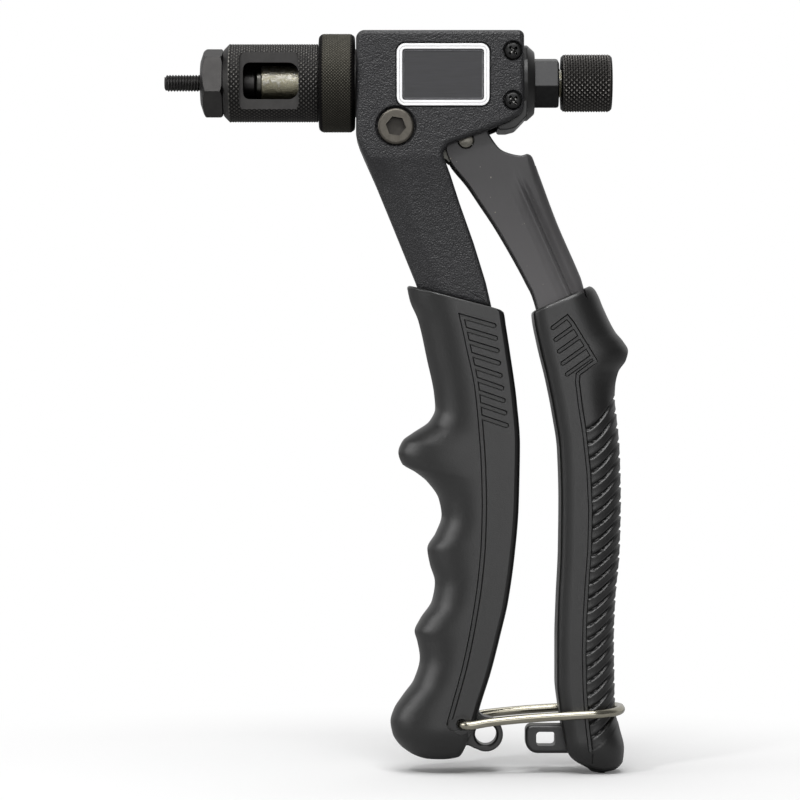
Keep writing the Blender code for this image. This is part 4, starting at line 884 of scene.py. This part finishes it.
# how far below the first pad's upper edge, along the sweep
level = PAD_TOP - (z - 0.5 * run - 0.035 * run ** 2)
lane = (level / PAD_PITCH) % 1 * PAD_PITCH
inside = ramp(x - left, -0.15, 0.15) * ramp(level, -1.6, -1.3)
inside = inside * (1 - ramp(level, PADS_END - 1.6, PADS_END - 1.2))
gap = ramp(lane, PAD_HEIGHT - 0.3, PAD_HEIGHT + 0.45) * (1 - ramp(lane, PAD_PITCH - 0.55, PAD_PITCH - 0.02))
fall = 0.45 * np.clip(lane / PAD_HEIGHT, 0, 1) * (1 - gap) * ramp(-lane, -PAD_PITCH + 0.3, 0)
on_pad = 1 - ramp(lane, PAD_HEIGHT, PAD_HEIGHT + 0.2)
sideways = np.clip((x - band[:, None]) / np.maximum(outer_x[:, None] - band[:, None], 1), 0, 1) ** 1.6
lip = 0.35 * np.exp(-((x - left) / 0.2) ** 2) * on_pad * ramp(level, -0.3, 0.1)
sunk = inside * (0.95 * gap + fall) + lip
y -= np.sign(y) * sunk * (1 - sideways ** 2) * np.minimum(1, np.abs(y) / 3)
x -= sunk * sideways
grip = skin("lever_moulding", rings, grip_plastic, 70)
comb = [[(67.1, -84.6), (72, -80.9)] + [(a - 0.2, b) for a, b in outer_edge[2:]],
        [(68.1, -88.6), (74.3, -84.2)], [(69.3, -92.6), (76.6, -87.4)], [(70.5, -96.7), (78.8, -90.8)],
        [(72, -100.4), (80.4, -94.4)]]
cut(grip, *grooves(comb, 1.75, LEVER_HALF, 1, grip_plastic))
square_lug = rounded(oblong(58.1, 77.9, -230.6, -220.8), [4.2, 0, 0, 2.2])
join(grip, plate("square_lug", square_lug, -LUG_HALF, LUG_HALF, grip_plastic, 1.2, 4))
cut(grip, plate("square_hole", rounded(oblong(61.8, 68.3, -228, -223.2), 1.2), -20, 20, grip_plastic))
AIR = 0.3
room = [(x - AIR, z) for x, z in LEVER_LEFT[7:]] + [(x + AIR, z) for x, z in LEVER_RIGHT[:7:-1]]
cut(grip, plate("lever_room", room, -CHEEK_HALF - AIR, CHEEK_HALF + AIR, grip_plastic))
grip = settle(grip, 55)
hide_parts("lever_grip")
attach(grip, "lever")

# ---- bail ----
# Nickel-plated spring wire, 3 mm thick, bent round a former: an eye in each side of the fixed grip, two arms
# and a wide bow that hooks behind the lever grip. The plating is warm and bright, with faint drawing lines.
nickel_wire = mottled("nickel_plated_spring_wire", ("#959080", "#cdc9b9"), 0.2, (1500, 4), (0.2, 0.00004),
                      0.06, Metallic=1)

WIRE_R, WIRE_SIDES, ARM_Y, BEND, BOW, BAR, ARM_END_Z = 1.5, 24, 15.8, 3.2, 11.5, (90.9, -215.4), -216.2
path = [Vector((HINGE[0], -8, HINGE[1])), Vector((HINGE[0], -12.5, HINGE[1]))]
for k in range(1, 13):
    angle = pi / 2 * k / 12
    path.append(Vector((HINGE[0] + BEND * (1 - cos(angle)), -ARM_Y + BEND * (1 - sin(angle)), HINGE[1])))
arm_line = [(39.2, -219.9), (46, -218.7), (58, -217.5), (70, -216.7), (79, ARM_END_Z)]
path += [Vector((x, -ARM_Y, z)) for x, z in through(arm_line, 5)[1:]]
for k in range(1, 17):
    angle = pi / 2 * k / 16
    path.append(Vector((BAR[0] - BOW * (1 - sin(angle)), -ARM_Y + (ARM_Y - 2) * (1 - cos(angle)),
                        ARM_END_Z + (BAR[1] - ARM_END_Z) * k / 16)))
path += [Vector((p.x, -p.y, p.z)) for p in reversed(path)]
rings, normal = [], None
for before, here, after in zip(path[:1] + path[:-1], path, path[1:] + path[-1:]):
    ahead = (after - before).normalized()
    normal = (ahead.orthogonal() if normal is None else normal - ahead * normal.dot(ahead)).normalized()
    across = ahead.cross(normal)
    angles = tau * np.arange(WIRE_SIDES) / WIRE_SIDES
    rings.append([here + WIRE_R * (normal * cos(angle) + across * sin(angle)) for angle in angles])
bail = skin("bail_wire", rings, nickel_wire, 60)
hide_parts("bail")
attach(bail, "bail_body")

# ---- studio ----
# A pale floor that keeps the tool's shadow and runs out into a white surround; a broad soft lamp in front
# and above, and weaker ones over the tool and on its left. The surround is white behind the tool and dimmer
# in front, as in a studio.
floor_paint, tree, shader, spot = finish("white_floor_paint", Roughness=0.9, Specular_IOR_Level=0.2)
seen = node(tree, "LightPath", {}).outputs["Is Camera Ray"]
wire(shader, {"Base Color": node(tree, "Mix", {0: seen, 6: "#acacac", 7: "#fafafa"}, data_type="RGBA")})
reach = node(tree, "VectorMath", {0: spot}, operation="LENGTH")
outer = node(tree, "MapRange", {"Value": reach, "From Min": 0.03, "From Max": 0.25},
             interpolation_type="SMOOTHSTEP")
share = node(tree, "Math", {0: outer, 1: seen}, operation="MULTIPLY")
glow = node(tree, "Emission", {"Color": "#ffffff", "Strength": 1})
wire(tree.nodes["Material Output"], {"Surface": node(tree, "MixShader", {0: share, 1: shader, 2: glow})})
floor_mesh = bpy.data.meshes.new("floor")
floor_mesh.from_pydata([(-8, -8, 0), (8, -8, 0), (8, 8, 0), (-8, 8, 0)], [], [(0, 1, 2, 3)])
floor_mesh.materials.append(floor_paint)
floor = bpy.data.objects.new("floor", floor_mesh)
bpy.context.scene.collection.objects.link(floor)

world = bpy.data.worlds.new("white_surround")
world.use_nodes = True
bpy.context.scene.world = world
tree = world.node_tree
rays = node(tree, "LightPath", {})
heading = node(tree, "SeparateXYZ", {0: node(tree, "TexCoord", {}).outputs["Generated"]}).outputs["Y"]
front, back = [node(tree, "MapRange", {"Value": heading, "From Min": low, "From Max": high},
                    interpolation_type="SMOOTHSTEP") for low, high in ((-0.8, -0.985), (0.05, 0.6))]
back = node(tree, "Math", {0: back, 1: 0.55}, operation="MULTIPLY")
bright = node(tree, "Math", {0: front, 1: back}, operation="MAXIMUM")
bright = node(tree, "MapRange", {"Value": bright, "To Min": 0.13, "To Max": 1})
lift = node(tree, "MapRange", {"Value": front, "To Min": 1, "To Max": 1.85})
bright = node(tree, "Math", {0: bright, 1: lift}, operation="MULTIPLY")
mirrored = node(tree, "Math", {0: rays.outputs["Is Glossy Ray"], 1: rays.outputs["Is Transmission Ray"]},
                operation="MAXIMUM")
level = node(tree, "MapRange", {"Value": mirrored, "To Min": 0.6, "To Max": 1})
level = node(tree, "Math", {0: level, 1: bright}, operation="MULTIPLY")
level = node(tree, "Math", {0: level, 1: rays.outputs["Is Camera Ray"]}, operation="MAXIMUM")
wire(tree.nodes["Background"], {"Color": "#ffffff", "Strength": level})

for name, place, size, watts in (
        ("front_lamp", (0.1, -0.9, 1.35), 0.8, 11), ("top_lamp", (-0.1, 0, 1.3), 0.8, 6),
        ("left_lamp", (-1.2, -0.3, 0.5), 0.7, 4), ("key_lamp", (-0.5, -0.8, 1.1), 0.12, 4)):
    lamp = bpy.data.lights.new(name, "AREA")
    lamp.size, lamp.energy = size, watts
    holder = bpy.data.objects.new(name, lamp)
    holder.location = place
    holder.rotation_euler = (Vector((0, 0, 0.13)) - Vector(place)).to_track_quat("-Z", "Y").to_euler()
    bpy.context.scene.collection.objects.link(holder)

lens = bpy.data.cameras.new("camera")
lens.sensor_width, lens.lens, lens.clip_end = 36, 146.16, 60
camera = bpy.data.objects.new("camera", lens)
camera.location, camera.rotation_euler = (0.0014, -1.12, 0.1282), (pi / 2, 0, 0)
bpy.context.scene.collection.objects.link(camera)
bpy.context.scene.camera = camera
bpy.context.scene.view_settings.view_transform = "Standard"
